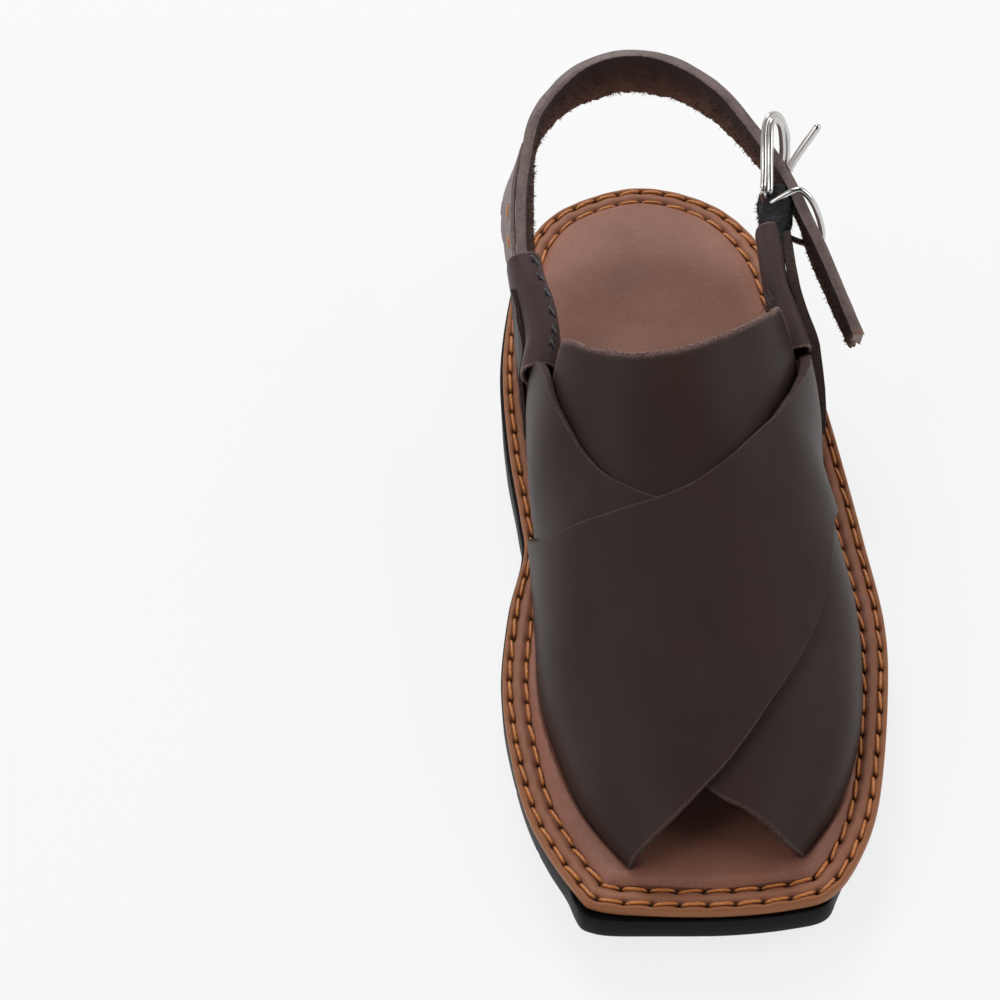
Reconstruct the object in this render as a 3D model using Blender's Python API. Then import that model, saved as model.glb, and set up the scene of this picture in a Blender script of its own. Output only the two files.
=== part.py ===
"""Peshawari chappal, the left shoe, as an assembly of separate solids.

Metres, +Z up. The toe points along -Y and +X is the outer side of the foot. The origin is on the
floor, at the centre of the heel's flat resting face. Places along the shoe are shares of LENGTH
counted from the heel's end, places across it are shares of BALL_WIDTH.
"""
import math

import bmesh
import bpy
import numpy as np

# Driving sizes
LENGTH = 0.280
BALL_WIDTH = 0.112
HEEL_REACH = 0.042
CLEARANCE = 0.0003

# Sole
HEEL_THICKNESS = 0.0240
FOREFOOT_THICKNESS = 0.0130
ARCH_RISE = 0.0040
TOE_SPRING = 0.0075
OUTSOLE_OVERHANG = 0.0006
OUTSOLE_SHIFT = -0.0006
SHOULDER_WIDTH = 0.0028
SHOULDER_HEIGHT = 0.0030
MIDSOLE_THICKNESS = 0.0037
EDGE_ROUND = 0.0011
OUTER_STITCH_INSET = 0.0023
STITCH_ROW_GAP = 0.0048
STITCH_GROOVE_WIDTH = 0.0014
STITCH_GROOVE_DEPTH = 0.0006
PAD_THICKNESS = 0.0018
PAD_ROUND = 0.0024

# Tread
TREAD_PITCH = 0.0225
TREAD_DEPTH = 0.0040
ZIGZAG_WIDTH = 0.0014
ZIGZAG_SWING = 0.0033
ZIGZAG_SPACING = 0.0145
CROSS_GROOVE_WIDTH = 0.0023

# Upper
INSTEP_HEIGHT = 0.076
LEATHER = 0.0021
PANEL_BITE = 0.0008
TONGUE_LEATHER = 0.0019
TONGUE_GAP = 0.0006

# Heel strap and tabs
STRAP_WIDTH = 0.0150
STRAP_THICKNESS = 0.0025
STRAP_EDGE_CUT = 0.0005
STRAP_HALF_SPAN = 0.041
STRAP_HEIGHT = 0.0825
STRAP_LEAN = 0.04
RETURN_LENGTH = 0.062
TAB_LEATHER = 0.0014
TAB_CORNER = 0.0010
MEDIAL_TAB_LENGTH = 0.037
LATERAL_TAB_LENGTH = 0.0335
LEAF_GAP = 0.0006
LEAF_BULGE = 0.0012

# Buckle
WIRE = 0.0023
KEEPER_WIRE = 0.0020
PRONG_WIRE = 0.0021
LOOP_WIDTH = 0.0130
LOOP_THICKNESS = 0.0046
LOOP_EDGE_CUT = 0.0012
BUCKLE_LENGTH = 0.026
BUCKLE_DEPTH = 0.020
BUCKLE_HEIGHT = 0.024
TAIL_LENGTH = 0.044

# Points along one side of the sole, and columns and rows of the leather panels
HALF_STATIONS = 36
PANEL_GRID = (21, 11)
TONGUE_GRID = (15, 6)
STRAP_STATIONS = 66
TAB_STATIONS = 9
WIRE_SIDES = 8

# Sole outline, from the heel's end along the inner side to the toe and back along the outer side
# along: share of LENGTH, across: share of BALL_WIDTH
OUTLINE = [
    (0.000, -0.005), (0.023, -0.215), (0.069, -0.328), (0.139, -0.388), (0.260, -0.433),
    (0.372, -0.430), (0.465, -0.408), (0.516, -0.402), (0.588, -0.446), (0.686, -0.477),
    (0.778, -0.467), (0.874, -0.413), (0.946, -0.331), (0.973, -0.270), (0.9936, -0.118),
    (1.000, 0.027), (0.9954, 0.176), (0.982, 0.265), (0.948, 0.337), (0.852, 0.437),
    (0.740, 0.509), (0.639, 0.531), (0.529, 0.504), (0.423, 0.466), (0.320, 0.437),
    (0.208, 0.385), (0.115, 0.335), (0.0375, 0.206),
]
TOE_ROW = 15

# Underside and thickness of the outsole along the shoe
# along: share of LENGTH, rise: share of ARCH_RISE, spring and lift: shares of TOE_SPRING under
# and over the sole, heel: share of the difference between heel and forefoot thickness
PROFILE = [
    (-0.02, 0.00, 0.00, 0.00, 1.00),
    (0.14, 0.00, 0.00, 0.00, 0.97),
    (0.28, 0.00, 0.00, 0.00, 0.82),
    (0.36, 0.60, 0.00, 0.00, 0.60),
    (0.45, 1.00, 0.00, 0.00, 0.28),
    (0.53, 0.50, 0.00, 0.00, 0.08),
    (0.60, 0.00, 0.00, 0.00, 0.00),
    (0.84, 0.00, 0.00, 0.00, 0.00),
    (0.92, 0.00, 0.25, 0.14, 0.00),
    (1.02, 0.00, 1.10, 0.54, 0.00),
]

# Last under the upper: inner face of the lower panel
# along: share of LENGTH, inner and outer foot line and ridge: shares of BALL_WIDTH,
# height: share of INSTEP_HEIGHT, fullness: exponent of the arch
LAST = [
    (0.24, -0.321, 0.360, -0.010, 1.100, 2.20),
    (0.32, -0.321, 0.370, -0.010, 1.000, 2.20),
    (0.40, -0.335, 0.384, -0.010, 0.895, 2.20),
    (0.48, -0.342, 0.393, -0.010, 0.763, 2.25),
    (0.56, -0.351, 0.405, -0.008, 0.612, 2.30),
    (0.64, -0.357, 0.425, 0.000, 0.513, 2.40),
    (0.72, -0.346, 0.431, 0.009, 0.421, 2.40),
    (0.80, -0.308, 0.402, 0.018, 0.336, 2.40),
    (0.87, -0.246, 0.335, 0.022, 0.257, 2.30),
    (0.93, -0.147, 0.228, 0.027, 0.171, 2.20),
    (0.99, -0.060, 0.120, 0.027, 0.090, 2.20),
]

# Edges of the upper panel, which runs from the outer side at the back to the inner side in front
# around: share of the way over the foot from the inner to the outer foot line,
# rear and front: shares of LENGTH
OVER_PANEL = [
    (0.00, 0.510, 0.930),
    (0.10, 0.561, 0.932),
    (0.20, 0.590, 0.931),
    (0.30, 0.598, 0.921),
    (0.40, 0.599, 0.904),
    (0.50, 0.587, 0.874),
    (0.60, 0.549, 0.812),
    (0.70, 0.501, 0.733),
    (0.80, 0.445, 0.655),
    (0.90, 0.390, 0.610),
    (1.00, 0.390, 0.585),
]
# Edges of the lower panel, the same columns
UNDER_PANEL = [
    (0.00, 0.395, 0.585),
    (0.10, 0.392, 0.620),
    (0.20, 0.440, 0.680),
    (0.30, 0.516, 0.750),
    (0.40, 0.570, 0.830),
    (0.50, 0.597, 0.902),
    (0.60, 0.605, 0.923),
    (0.70, 0.600, 0.936),
    (0.80, 0.590, 0.939),
    (0.90, 0.560, 0.937),
    (1.00, 0.510, 0.933),
]
# Edges of the tongue, the same columns
TONGUE = [
    (0.19, 0.374, 0.600),
    (0.34, 0.431, 0.670),
    (0.48, 0.453, 0.680),
    (0.62, 0.431, 0.670),
    (0.72, 0.395, 0.640),
    (0.82, 0.345, 0.590),
]

# Middle line of the heel strap, from its fold in the inner tab round the heel to the tail's end
# across: share of STRAP_HALF_SPAN, along: share of LENGTH, height: share of STRAP_HEIGHT
STRAP_LINE = [
    (-0.840, 0.354, 0.635),
    (-0.875, 0.312, 0.690),
    (-0.935, 0.260, 0.752),
    (-0.985, 0.204, 0.810),
    (-0.963, 0.154, 0.860),
    (-0.830, 0.095, 0.920),
    (-0.610, 0.050, 0.965),
    (-0.340, 0.025, 0.990),
    (-0.050, 0.0168, 1.000),
    (0.250, 0.027, 0.990),
    (0.560, 0.063, 0.955),
    (0.745, 0.112, 0.910),
    (0.870, 0.163, 0.867),
    (0.985, 0.195, 0.824),
    (1.140, 0.232, 0.763),
    (1.310, 0.279, 0.677),
    (1.450, 0.329, 0.578),
]
# Middle line of the black loop from the buckle's bar into the outer tab, the same columns
LOOP_LINE = [
    (0.815, 0.184, 0.850),
    (0.842, 0.220, 0.805),
    (0.875, 0.255, 0.755),
    (0.925, 0.295, 0.695),
    (0.985, 0.335, 0.630),
]

# Foot lines of the tabs' leaves, front end and rear end
# across: share of BALL_WIDTH, along: share of LENGTH
MEDIAL_FOOT = [(-0.385, 0.372), (-0.392, 0.290)]
LATERAL_FOOT = [(0.392, 0.372), (0.375, 0.290)]
# Free part of a leaf, from its foot up
# climb: share of the way to the loop it is joined to, bulge: share of LEAF_BULGE
LEAF_CLIMB = [(0.00, 0.00), (0.38, 1.00), (0.75, 0.60)]
# Joined part of a leaf
# level: share of half the loop's height, stand: share of TAB_LEATHER out of the loop's face,
# gap: share of LEAF_GAP
LEAF_LAP = [(-0.60, 0.50, 0.00), (-0.20, 1.00, 1.00), (0.30, 1.00, 1.00)]


# Closed wire of the buckle, round the strap: shares of BUCKLE_LENGTH along the strap,
# of BUCKLE_DEPTH out of it and of BUCKLE_HEIGHT across it
BUCKLE_RING = [
    (-0.246, -0.335, 0.358), (-0.640, 0.020, 0.500), (-1.020, 0.375, 0.600), (-1.000, 0.520, 0.270),
    (-0.700, 0.620, -0.230), (-0.350, 0.300, -0.430), (0.110, -0.240, -0.560), (-0.010, -0.300, -0.180),
]
# Open wire from the ring's lower front corner round the strap's outer side to the upper one
BUCKLE_KEEPER = [
    (0.110, -0.240, -0.560), (0.438, 0.030, -0.560), (0.600, 0.220, -0.200), (0.450, 0.215, 0.300),
    (0.010, 0.090, 0.600), (-0.100, -0.290, 0.500), (-0.246, -0.335, 0.358),
]
# Prong, from beside the bar through the strap to its free tip
BUCKLE_PRONG = [
    (-0.119, -0.215, -0.054), (-0.238, 0.120, 0.038), (-0.481, 0.340, 0.371), (-0.592, 0.790, 0.808),
]


def make_material(name, colour, roughness, metallic=0.0):
    """Principled material with one colour."""
    material = bpy.data.materials.new(name)
    material.use_nodes = True
    shader = material.node_tree.nodes["Principled BSDF"]
    shader.inputs["Base Color"].default_value = (*colour, 1.0)
    shader.inputs["Roughness"].default_value = roughness
    shader.inputs["Metallic"].default_value = metallic
    return material


def add_solid(name, points, faces, material, smooth_angle=40.0):
    """Object from points and faces, its faces turned outwards."""
    mesh = bpy.data.meshes.new(name)
    mesh.from_pydata([tuple(map(float, point)) for point in points], [], faces)
    mesh.validate()
    work = bmesh.new()
    work.from_mesh(mesh)
    bmesh.ops.recalc_face_normals(work, faces=work.faces)
    if work.calc_volume(signed=True) < 0.0:
        bmesh.ops.reverse_faces(work, faces=work.faces)
    work.to_mesh(mesh)
    work.free()
    mesh.shade_smooth()
    mesh.set_sharp_from_angle(angle=math.radians(smooth_angle))
    solid = bpy.data.objects.new(name, mesh)
    bpy.context.collection.objects.link(solid)
    if material:
        mesh.materials.append(material)
    return solid


def as_guide(solid):
    """Mark an object as a cutter or a joining body that isn't a piece of the shoe."""
    solid.hide_render = True
    solid.display_type = "WIRE"
    return solid


def combine(solid, other, operation):
    """Exact Boolean of two objects, the second one kept as a guide."""
    modifier = solid.modifiers.new(operation.title(), "BOOLEAN")
    modifier.operation = operation
    modifier.object = as_guide(other)


def smooth_through(rows, count, closed=False):
    """Points spaced evenly in length on a smooth curve through the rows."""
    rows = np.asarray(rows, float)
    size = len(rows)
    spans = size if closed else size - 1
    steps = np.linspace(0.0, spans, spans * 24 + 1)
    base = np.minimum(steps.astype(int), spans - 1)
    part = (steps - base)[:, None]

    def row(offset):
        index = base + offset
        if closed:
            return rows[index % size]
        before = 2.0 * rows[0] - rows[1]
        after = 2.0 * rows[-1] - rows[-2]
        padded = np.vstack([before, rows, after])
        return padded[index + 1]

    first, second, third, fourth = row(-1), row(0), row(1), row(2)
    curve = 0.5 * (2.0 * second + (third - first) * part
                   + (2.0 * first - 5.0 * second + 4.0 * third - fourth) * part ** 2
                   + (3.0 * second - first - 3.0 * third + fourth) * part ** 3)
    travelled = np.concatenate([[0.0], np.cumsum(np.linalg.norm(np.diff(curve, axis=0), axis=1))])
    wanted = np.linspace(0.0, travelled[-1], count)
    return np.stack([np.interp(wanted, travelled, column) for column in curve.T], 1)


def read_table(rows, place):
    """Smooth values of a table's columns at places along its first column."""
    rows = np.asarray(rows, float)
    place = np.clip(np.asarray(place, float), rows[0, 0], rows[-1, 0])
    keys = rows[:, 0]
    slopes = np.gradient(rows[:, 1:], keys, axis=0)
    index = np.clip(np.searchsorted(keys, place, side="right") - 1, 0, len(keys) - 2)
    width = (keys[index + 1] - keys[index])
    part = ((place - keys[index]) / width)[..., None]
    width = width[..., None]
    start, end = rows[index, 1:], rows[index + 1, 1:]
    blend = part * part * (3.0 - 2.0 * part)
    values = (start * (1.0 - blend) + end * blend
              + width * slopes[index] * part * (1.0 - part) ** 2
              - width * slopes[index + 1] * part ** 2 * (1.0 - part))
    return np.moveaxis(values, -1, 0)


def along_to_y(along):
    return HEEL_REACH - np.asarray(along) * LENGTH


def y_to_along(y):
    return (HEEL_REACH - np.asarray(y)) / LENGTH


def underside(y):
    """Height of the outsole's underside over the floor."""
    rise, spring, _, _ = read_table(PROFILE, y_to_along(y))
    return np.maximum(rise, 0.0) * ARCH_RISE + np.maximum(spring, 0.0) * TOE_SPRING


def bed(y):
    """Height of the midsole's top face."""
    _, _, lift, heel = read_table(PROFILE, y_to_along(y))
    thickness = FOREFOOT_THICKNESS + heel * (HEEL_THICKNESS - FOREFOOT_THICKNESS)
    return thickness + np.maximum(lift, 0.0) * TOE_SPRING + CLEARANCE + MIDSOLE_THICKNESS


def footbed(y):
    """Height of the insole's top face."""
    return bed(y) + CLEARANCE + PAD_THICKNESS


def sole_outline():
    """Outline of the sole from the heel's end along the inner side, toe tip at HALF_STATIONS."""
    rows = np.array([(across * BALL_WIDTH, HEEL_REACH - along * LENGTH) for along, across in OUTLINE])
    curve = smooth_through(rows, 24 * len(rows) + 1, closed=True)[:-1]
    toe = int(np.argmin(np.linalg.norm(curve - rows[TOE_ROW], axis=1)))
    inner = smooth_through(curve[:toe + 1], HALF_STATIONS + 1)
    outer = smooth_through(np.vstack([curve[toe:], curve[:1]]), HALF_STATIONS + 1)
    return np.vstack([inner[:-1], outer[:-1]])


def inset(outline, distance):
    """Outline moved inwards, across its own direction."""
    direction = np.roll(outline, -1, axis=0) - np.roll(outline, 1, axis=0)
    direction /= np.linalg.norm(direction, axis=1)[:, None]
    outwards = np.stack([direction[:, 1], -direction[:, 0]], 1)
    return outline - outwards * distance


def layer_from_rings(name, rings, material):
    """Solid between rings stacked from its underside to its top, closed by rungs across."""
    count = len(rings[0])
    half = count // 2
    points = np.vstack(rings)
    faces = []
    for level in range(len(rings) - 1):
        low, high = level * count, (level + 1) * count
        for index in range(count):
            after = (index + 1) % count
            faces.append((low + index, low + after, high + after, high + index))
    top = (len(rings) - 1) * count
    for index in range(half):
        left, right = index, (count - index) % count
        left_after, right_after = index + 1, count - index - 1
        rung = [left, left_after, right_after, right]
        rung = list(dict.fromkeys(rung))
        faces.append(tuple(top + corner for corner in rung))
        faces.append(tuple(reversed(rung)))
    return add_solid(name, points, faces, material)


def ring(outline, distance, height):
    """Ring of an outline at an inset and a height that is a function of y."""
    line = inset(outline, distance)
    return np.column_stack([line, height(line[:, 1])])


def shell(outside, inside):
    """Points and faces of the closed wall between two grids of the same size."""
    rows, columns = outside.shape[:2]
    points = np.vstack([outside.reshape(-1, 3), inside.reshape(-1, 3)])
    back = rows * columns
    faces = []
    for row in range(rows - 1):
        for column in range(columns - 1):
            corner = row * columns + column
            cell = (corner, corner + 1, corner + columns + 1, corner + columns)
            faces.append(cell)
            faces.append(tuple(back + vertex for vertex in reversed(cell)))
    border = [column for column in range(columns)]
    border += [row * columns + columns - 1 for row in range(1, rows)]
    border += [(rows - 1) * columns + column for column in range(columns - 2, -1, -1)]
    border += [row * columns for row in range(rows - 2, 0, -1)]
    for first, second in zip(border, border[1:] + border[:1]):
        faces.append((first, back + first, back + second, second))
    return points, faces


def tube(sections, closed=False):
    """Points and faces through equal sections, joined end to end or capped."""
    count, corners = sections.shape[:2]
    points = sections.reshape(-1, 3)
    faces = []
    for row in range(count if closed else count - 1):
        after_row = (row + 1) % count
        for column in range(corners):
            after = (column + 1) % corners
            faces.append((row * corners + column, row * corners + after,
                          after_row * corners + after, after_row * corners + column))
    if not closed:
        faces.append(tuple(range(corners)))
        faces.append(tuple(reversed(range((count - 1) * corners, count * corners))))
    return points, faces


def last_point(around, along, lift):
    """Point of the last, lifted off it along its normal.

    around runs from 0 at the inner foot line over the ridge to 1 at the outer one.
    """
    def surface(around, along):
        inner, outer, ridge, height, fullness = read_table(LAST, along)
        angle = np.pi * np.clip(around, 0.0, 1.0)
        power = 2.0 / fullness
        cosine, sine = np.cos(angle), np.sin(angle)
        reach = np.where(cosine > 0.0, ridge - inner, outer - ridge) * BALL_WIDTH
        x = ridge * BALL_WIDTH - np.sign(cosine) * np.abs(cosine) ** power * reach
        y = along_to_y(along)
        z = footbed(y) + CLEARANCE + height * INSTEP_HEIGHT * np.abs(sine) ** power
        return np.stack([x, y, z], -1)

    around, along = np.broadcast_arrays(np.asarray(around, float), np.asarray(along, float))
    step = 0.004
    inside = np.clip(around, step, 1.0 - step)
    across = surface(inside + step, along) - surface(inside - step, along)
    forward = surface(inside, along + step) - surface(inside, along - step)
    normal = np.cross(forward, across)
    normal /= np.linalg.norm(normal, axis=-1)[..., None]
    point = surface(around, along) + normal * lift
    point[..., 2] = np.maximum(point[..., 2], footbed(point[..., 1]) + CLEARANCE)
    return point


def panel(table, grid, low, high):
    """Closed leather wall on the last between the front and rear edges of a table."""
    columns, rows = grid
    ends = np.asarray(table)[[0, -1], 0]
    share = 0.5 - 0.5 * np.cos(np.linspace(0.0, np.pi, columns))
    around = ends[0] + (ends[1] - ends[0]) * (0.35 * share + 0.65 * np.linspace(0.0, 1.0, columns))
    rear, front = read_table(table, around)
    part = np.linspace(0.0, 1.0, rows)[:, None]
    along = rear * (1.0 - part) + front * part
    around = np.broadcast_to(around, along.shape)
    return shell(last_point(around, along, high), last_point(around, along, low))


def line_points(table):
    """Table of a strap's middle line as places in metres."""
    rows = np.asarray(table, float)
    return np.column_stack([rows[:, 0] * STRAP_HALF_SPAN, along_to_y(rows[:, 1]),
                            rows[:, 2] * STRAP_HEIGHT])


def strap_frames(points, lean=STRAP_LEAN):
    """Directions along, out of and across a strap whose middle line is given."""
    along = np.gradient(points, axis=0)
    along /= np.linalg.norm(along, axis=1)[:, None]
    upright = np.array([0.0, 0.0, 1.0])
    across = upright - (along @ upright)[:, None] * along
    across /= np.linalg.norm(across, axis=1)[:, None]
    out = np.cross(across, along)
    sine, cosine = math.sin(lean), math.cos(lean)
    return along, out * cosine - across * sine, across * cosine + out * sine


def flat_section(width, thickness, round_off):
    """Corners of a band's section, out and across, with its four edges cut off."""
    half_w, half_t = width / 2.0, thickness / 2.0
    return np.array([
        (half_t, -half_w + round_off), (half_t, half_w - round_off),
        (half_t - round_off, half_w), (-half_t + round_off, half_w),
        (-half_t, half_w - round_off), (-half_t, -half_w + round_off),
        (-half_t + round_off, -half_w), (half_t - round_off, -half_w),
    ])


def sweep(points, out, across, section):
    """Sections carried along a line."""
    return (points[:, None, :] + out[:, None, :] * section[None, :, 0:1]
            + across[:, None, :] * section[None, :, 1:2])


def build_outsole(outline, material):
    """Moulded sole with a bevelled lower edge and the grooves of its tread."""
    def top(y):
        return bed(y) - MIDSOLE_THICKNESS - CLEARANCE

    def shoulder(share):
        return lambda y: underside(y) + share * SHOULDER_HEIGHT

    outline = outline + [OUTSOLE_SHIFT, 0.0]
    rings = [
        ring(outline, SHOULDER_WIDTH - OUTSOLE_OVERHANG, underside),
        ring(outline, 0.25 * SHOULDER_WIDTH - OUTSOLE_OVERHANG, shoulder(0.45)),
        ring(outline, -OUTSOLE_OVERHANG, shoulder(1.0)),
        ring(outline, -OUTSOLE_OVERHANG, top),
    ]
    outsole = layer_from_rings("outsole", rings, material)
    combine(outsole, zigzag_cutter(), "DIFFERENCE")
    combine(outsole, cross_cutter(), "DIFFERENCE")


def tread_span():
    """First and last half pitch of the forefoot's tread, counted from the origin along the shoe."""
    return [(-5, 3), (9, 21)]


def zigzag_point(step, lane):
    """Corner of a zigzag groove, lane by lane across the sole."""
    x = (lane - 1.5) * ZIGZAG_SPACING + (1 if step % 2 else -1) * ZIGZAG_SWING
    return x, -step * TREAD_PITCH / 2.0


def zigzag_cutter():
    """Four lengthwise zigzag grooves as one cutting body."""
    points, faces = [], []
    low, high = -TREAD_DEPTH, TREAD_DEPTH
    half = ZIGZAG_WIDTH / 2.0
    for first, final in tread_span():
        for lane in range(4):
            start = len(points)
            steps = range(first, final + 1)
            for step in steps:
                x, y = zigzag_point(step, lane)
                points += [(x - half, y, low), (x + half, y, low), (x + half, y, high), (x - half, y, high)]
            for index in range(len(steps) - 1):
                a, b = start + 4 * index, start + 4 * index + 4
                for corner in range(4):
                    after = (corner + 1) % 4
                    faces.append((a + corner, a + after, b + after, b + corner))
            end = len(points) - 4
            faces.append((start, start + 3, start + 2, start + 1))
            faces.append((end, end + 1, end + 2, end + 3))
    return add_solid("zigzag_cutter", points, faces, None)


def cross_cutter():
    """Grooves from the outer zigzags' corners to both edges as one cutting body."""
    points, faces = [], []
    low, high = -TREAD_DEPTH, TREAD_DEPTH
    half = CROSS_GROOVE_WIDTH / 2.0
    for first, final in tread_span():
        for step in range(first, final + 1):
            lane, side = (3, 1) if step % 2 else (0, -1)
            x, y = zigzag_point(step, lane)
            start = len(points)
            for place in (x, side * BALL_WIDTH):
                points += [(place, y - half, low), (place, y + half, low),
                           (place, y + half, high), (place, y - half, high)]
            for corner in range(4):
                after = (corner + 1) % 4
                faces.append((start + corner, start + after, start + 4 + after, start + 4 + corner))
            faces.append((start, start + 3, start + 2, start + 1))
            faces.append((start + 4, start + 5, start + 6, start + 7))
    return add_solid("cross_cutter", points, faces, None)


def build_midsole(outline, material):
    """Leather layer with a rounded edge and the two sunk lines of its stitch rows."""
    def at(height):
        return lambda y: bed(y) + height

    inner_row = OUTER_STITCH_INSET + STITCH_ROW_GAP
    half = STITCH_GROOVE_WIDTH / 2.0
    rings = [
        ring(outline, EDGE_ROUND * 0.6, at(-MIDSOLE_THICKNESS)),
        ring(outline, 0.0, at(-MIDSOLE_THICKNESS + EDGE_ROUND)),
        ring(outline, 0.0, at(-EDGE_ROUND)),
        ring(outline, EDGE_ROUND, at(0.0)),
    ]
    for row in (OUTER_STITCH_INSET, inner_row):
        rings += [
            ring(outline, row - half, at(0.0)),
            ring(outline, row, at(-STITCH_GROOVE_DEPTH)),
            ring(outline, row + half, at(0.0)),
        ]
    return layer_from_rings("midsole", rings, material)


def build_insole(outline, material):
    """Soft pad inside the stitch rows, rounded at its edge."""
    def at(height):
        return lambda y: bed(y) + CLEARANCE + height

    edge = OUTER_STITCH_INSET + STITCH_ROW_GAP + STITCH_GROOVE_WIDTH / 2.0
    rings = [
        ring(outline, edge, at(0.0)),
        ring(outline, edge, at(0.35 * PAD_THICKNESS)),
        ring(outline, edge + 0.3 * PAD_ROUND, at(0.75 * PAD_THICKNESS)),
        ring(outline, edge + PAD_ROUND, at(PAD_THICKNESS)),
    ]
    return layer_from_rings("insole", rings, material)


def build_upper(material):
    """Two crossing leather panels, joined where the upper one lies on the lower one."""
    under = panel(UNDER_PANEL, PANEL_GRID, 0.0, LEATHER)
    over = panel(OVER_PANEL, PANEL_GRID, LEATHER - PANEL_BITE, 2.0 * LEATHER)
    upper = add_solid("upper", *over, material)
    combine(upper, add_solid("under_panel", *under, material), "UNION")


def build_tongue(material):
    """Leather piece under the panels that closes the instep."""
    low = -TONGUE_GAP - TONGUE_LEATHER
    add_solid("tongue", *panel(TONGUE, TONGUE_GRID, low, -TONGUE_GAP), material)


def strap_middle():
    """Middle line of the strap from its fold to the tail's end, with its directions."""
    middle = smooth_through(line_points(STRAP_LINE), STRAP_STATIONS)
    return (middle, *strap_frames(middle))


def first_stretch(line, length):
    """Points of a line up to a length from its start."""
    travelled = np.concatenate([[0.0], np.cumsum(np.linalg.norm(np.diff(line, axis=0), axis=1))])
    return line[travelled <= length]


def build_heel_strap(material):
    """Band round the heel whose inner end is folded outwards on itself."""
    middle, along, out, across = strap_middle()
    offset = STRAP_THICKNESS + CLEARANCE
    doubled = len(first_stretch(middle, RETURN_LENGTH))
    turn = np.linspace(0.0, np.pi, 7)[1:-1, None]
    radial = out[0] * np.cos(turn) - along[0] * np.sin(turn)
    fold = middle[0] + (out[0] + radial) * offset / 2.0
    layer = (middle + out * offset)[:doubled][::-1]
    whole = np.vstack([layer, fold, middle])
    across = np.vstack([across[:doubled][::-1], np.repeat(across[:1], len(turn), 0), across])
    out = np.vstack([-out[:doubled][::-1], -radial, out])
    section = flat_section(STRAP_WIDTH, STRAP_THICKNESS, STRAP_EDGE_CUT)
    add_solid("heel_strap", *tube(sweep(whole, out, across, section)), material)


def rounded_section(width, height, corner, per_corner=3):
    """Corners of a rounded rectangle, out and across, in order round it."""
    turns = np.linspace(0.0, np.pi / 2.0, per_corner)
    centres = [(1, 1), (-1, 1), (-1, -1), (1, -1)]
    rows = []
    for quarter, (side, level) in enumerate(centres):
        angle = turns + quarter * np.pi / 2.0
        rows += [(side * (width / 2.0 - corner) + corner * math.cos(a),
                  level * (height / 2.0 - corner) + corner * math.sin(a)) for a in angle]
    return np.array(rows)


def sleeve(middle, out, across, width, height, wall):
    """Points and faces of a flat tube of leather with open ends round a band."""
    inner = rounded_section(width, height, TAB_CORNER)
    outer = rounded_section(width + 2.0 * wall, height + 2.0 * wall, TAB_CORNER + wall)
    loops = np.concatenate([sweep(middle, out, across, outer), sweep(middle, out, across, inner)], 1)
    count, corners = loops.shape[0], len(inner)
    faces = []
    for row in range(count - 1):
        for column in range(corners):
            after = (column + 1) % corners
            low, high = row * 2 * corners, (row + 1) * 2 * corners
            faces.append((low + column, low + after, high + after, high + column))
            faces.append((low + corners + after, low + corners + column,
                          high + corners + column, high + corners + after))
    for start in (0, (count - 1) * 2 * corners):
        for column in range(corners):
            after = (column + 1) % corners
            faces.append((start + column, start + after, start + corners + after, start + corners + column))
    return loops.reshape(-1, 3), faces


def build_tab(name, line, width, height, foot, material):
    """Leather loop round a band, with the leaf that ties it to the sole on its outer side.

    line holds the places along the loop with their out and across directions, from the front
    to the rear; foot is the leaf's foot line, as shares of BALL_WIDTH and LENGTH.
    """
    middle, out, across = line
    tab = add_solid(name, *sleeve(middle, out, across, width, height, TAB_LEATHER), material)
    half_width = width / 2.0 + TAB_LEATHER
    half_height = height / 2.0 + TAB_LEATHER
    share = np.linspace(0.0, 1.0, len(middle))[:, None]
    front, rear = np.array(foot)
    place = front * (1.0 - share) + rear * share
    x, y = place[:, 0] * BALL_WIDTH, along_to_y(place[:, 1])
    ground = np.column_stack([x, y, footbed(y) + CLEARANCE])
    level = out * [1.0, 1.0, 0.0]

    def lap(height, stand, gap):
        reach = half_width + stand * TAB_LEATHER + gap * LEAF_GAP
        return middle + out * reach + across * half_height * height

    joined = lap(*LEAF_LAP[0])
    rows = [ground * (1.0 - climb) + joined * climb + level * LEAF_BULGE * bulge
            for climb, bulge in LEAF_CLIMB]
    rows += [lap(*row) for row in LEAF_LAP]
    outside = np.stack(rows)
    inside = outside - level * TAB_LEATHER
    combine(tab, add_solid(name + "_leaf", *shell(outside, inside), None), "UNION")


def extended(line, before, length):
    """Stretch of a line that starts a little before its first point, with its directions."""
    start = line[0] + (line[0] - line[1]) / np.linalg.norm(line[0] - line[1]) * before
    points = smooth_through(np.vstack([start, first_stretch(line, length - before)]), TAB_STATIONS)
    _, out, across = strap_frames(points)
    return points, out, across


def build_tabs(material):
    """Loop round the strap's folded end and loop round the black band."""
    margin = 4.0 * CLEARANCE
    middle, _, out, _ = strap_middle()
    offset = (STRAP_THICKNESS + CLEARANCE) / 2.0
    points, out, across = extended(middle + out * offset, STRAP_THICKNESS + margin, MEDIAL_TAB_LENGTH)
    build_tab("side_tab_medial", (points, out, across), 2.0 * STRAP_THICKNESS + CLEARANCE + margin,
              STRAP_WIDTH + margin, MEDIAL_FOOT, material)
    loop = loop_middle()[::-1]
    points, out, across = extended(loop, margin, LATERAL_TAB_LENGTH)
    build_tab("side_tab_lateral", (points, -out, across), LOOP_THICKNESS + margin,
              LOOP_WIDTH + margin, LATERAL_FOOT, material)


def loop_middle():
    """Middle line of the black loop, from the buckle's bar into the tab."""
    return smooth_through(line_points(LOOP_LINE), 24)


def buckle_place():
    """Point of the strap that the buckle is set out from, with the strap's directions there."""
    middle, along, out, across = strap_middle()
    index = len(middle) - len(first_stretch(middle[::-1], TAIL_LENGTH))
    return middle[index], along[index], out[index], across[index]


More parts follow.
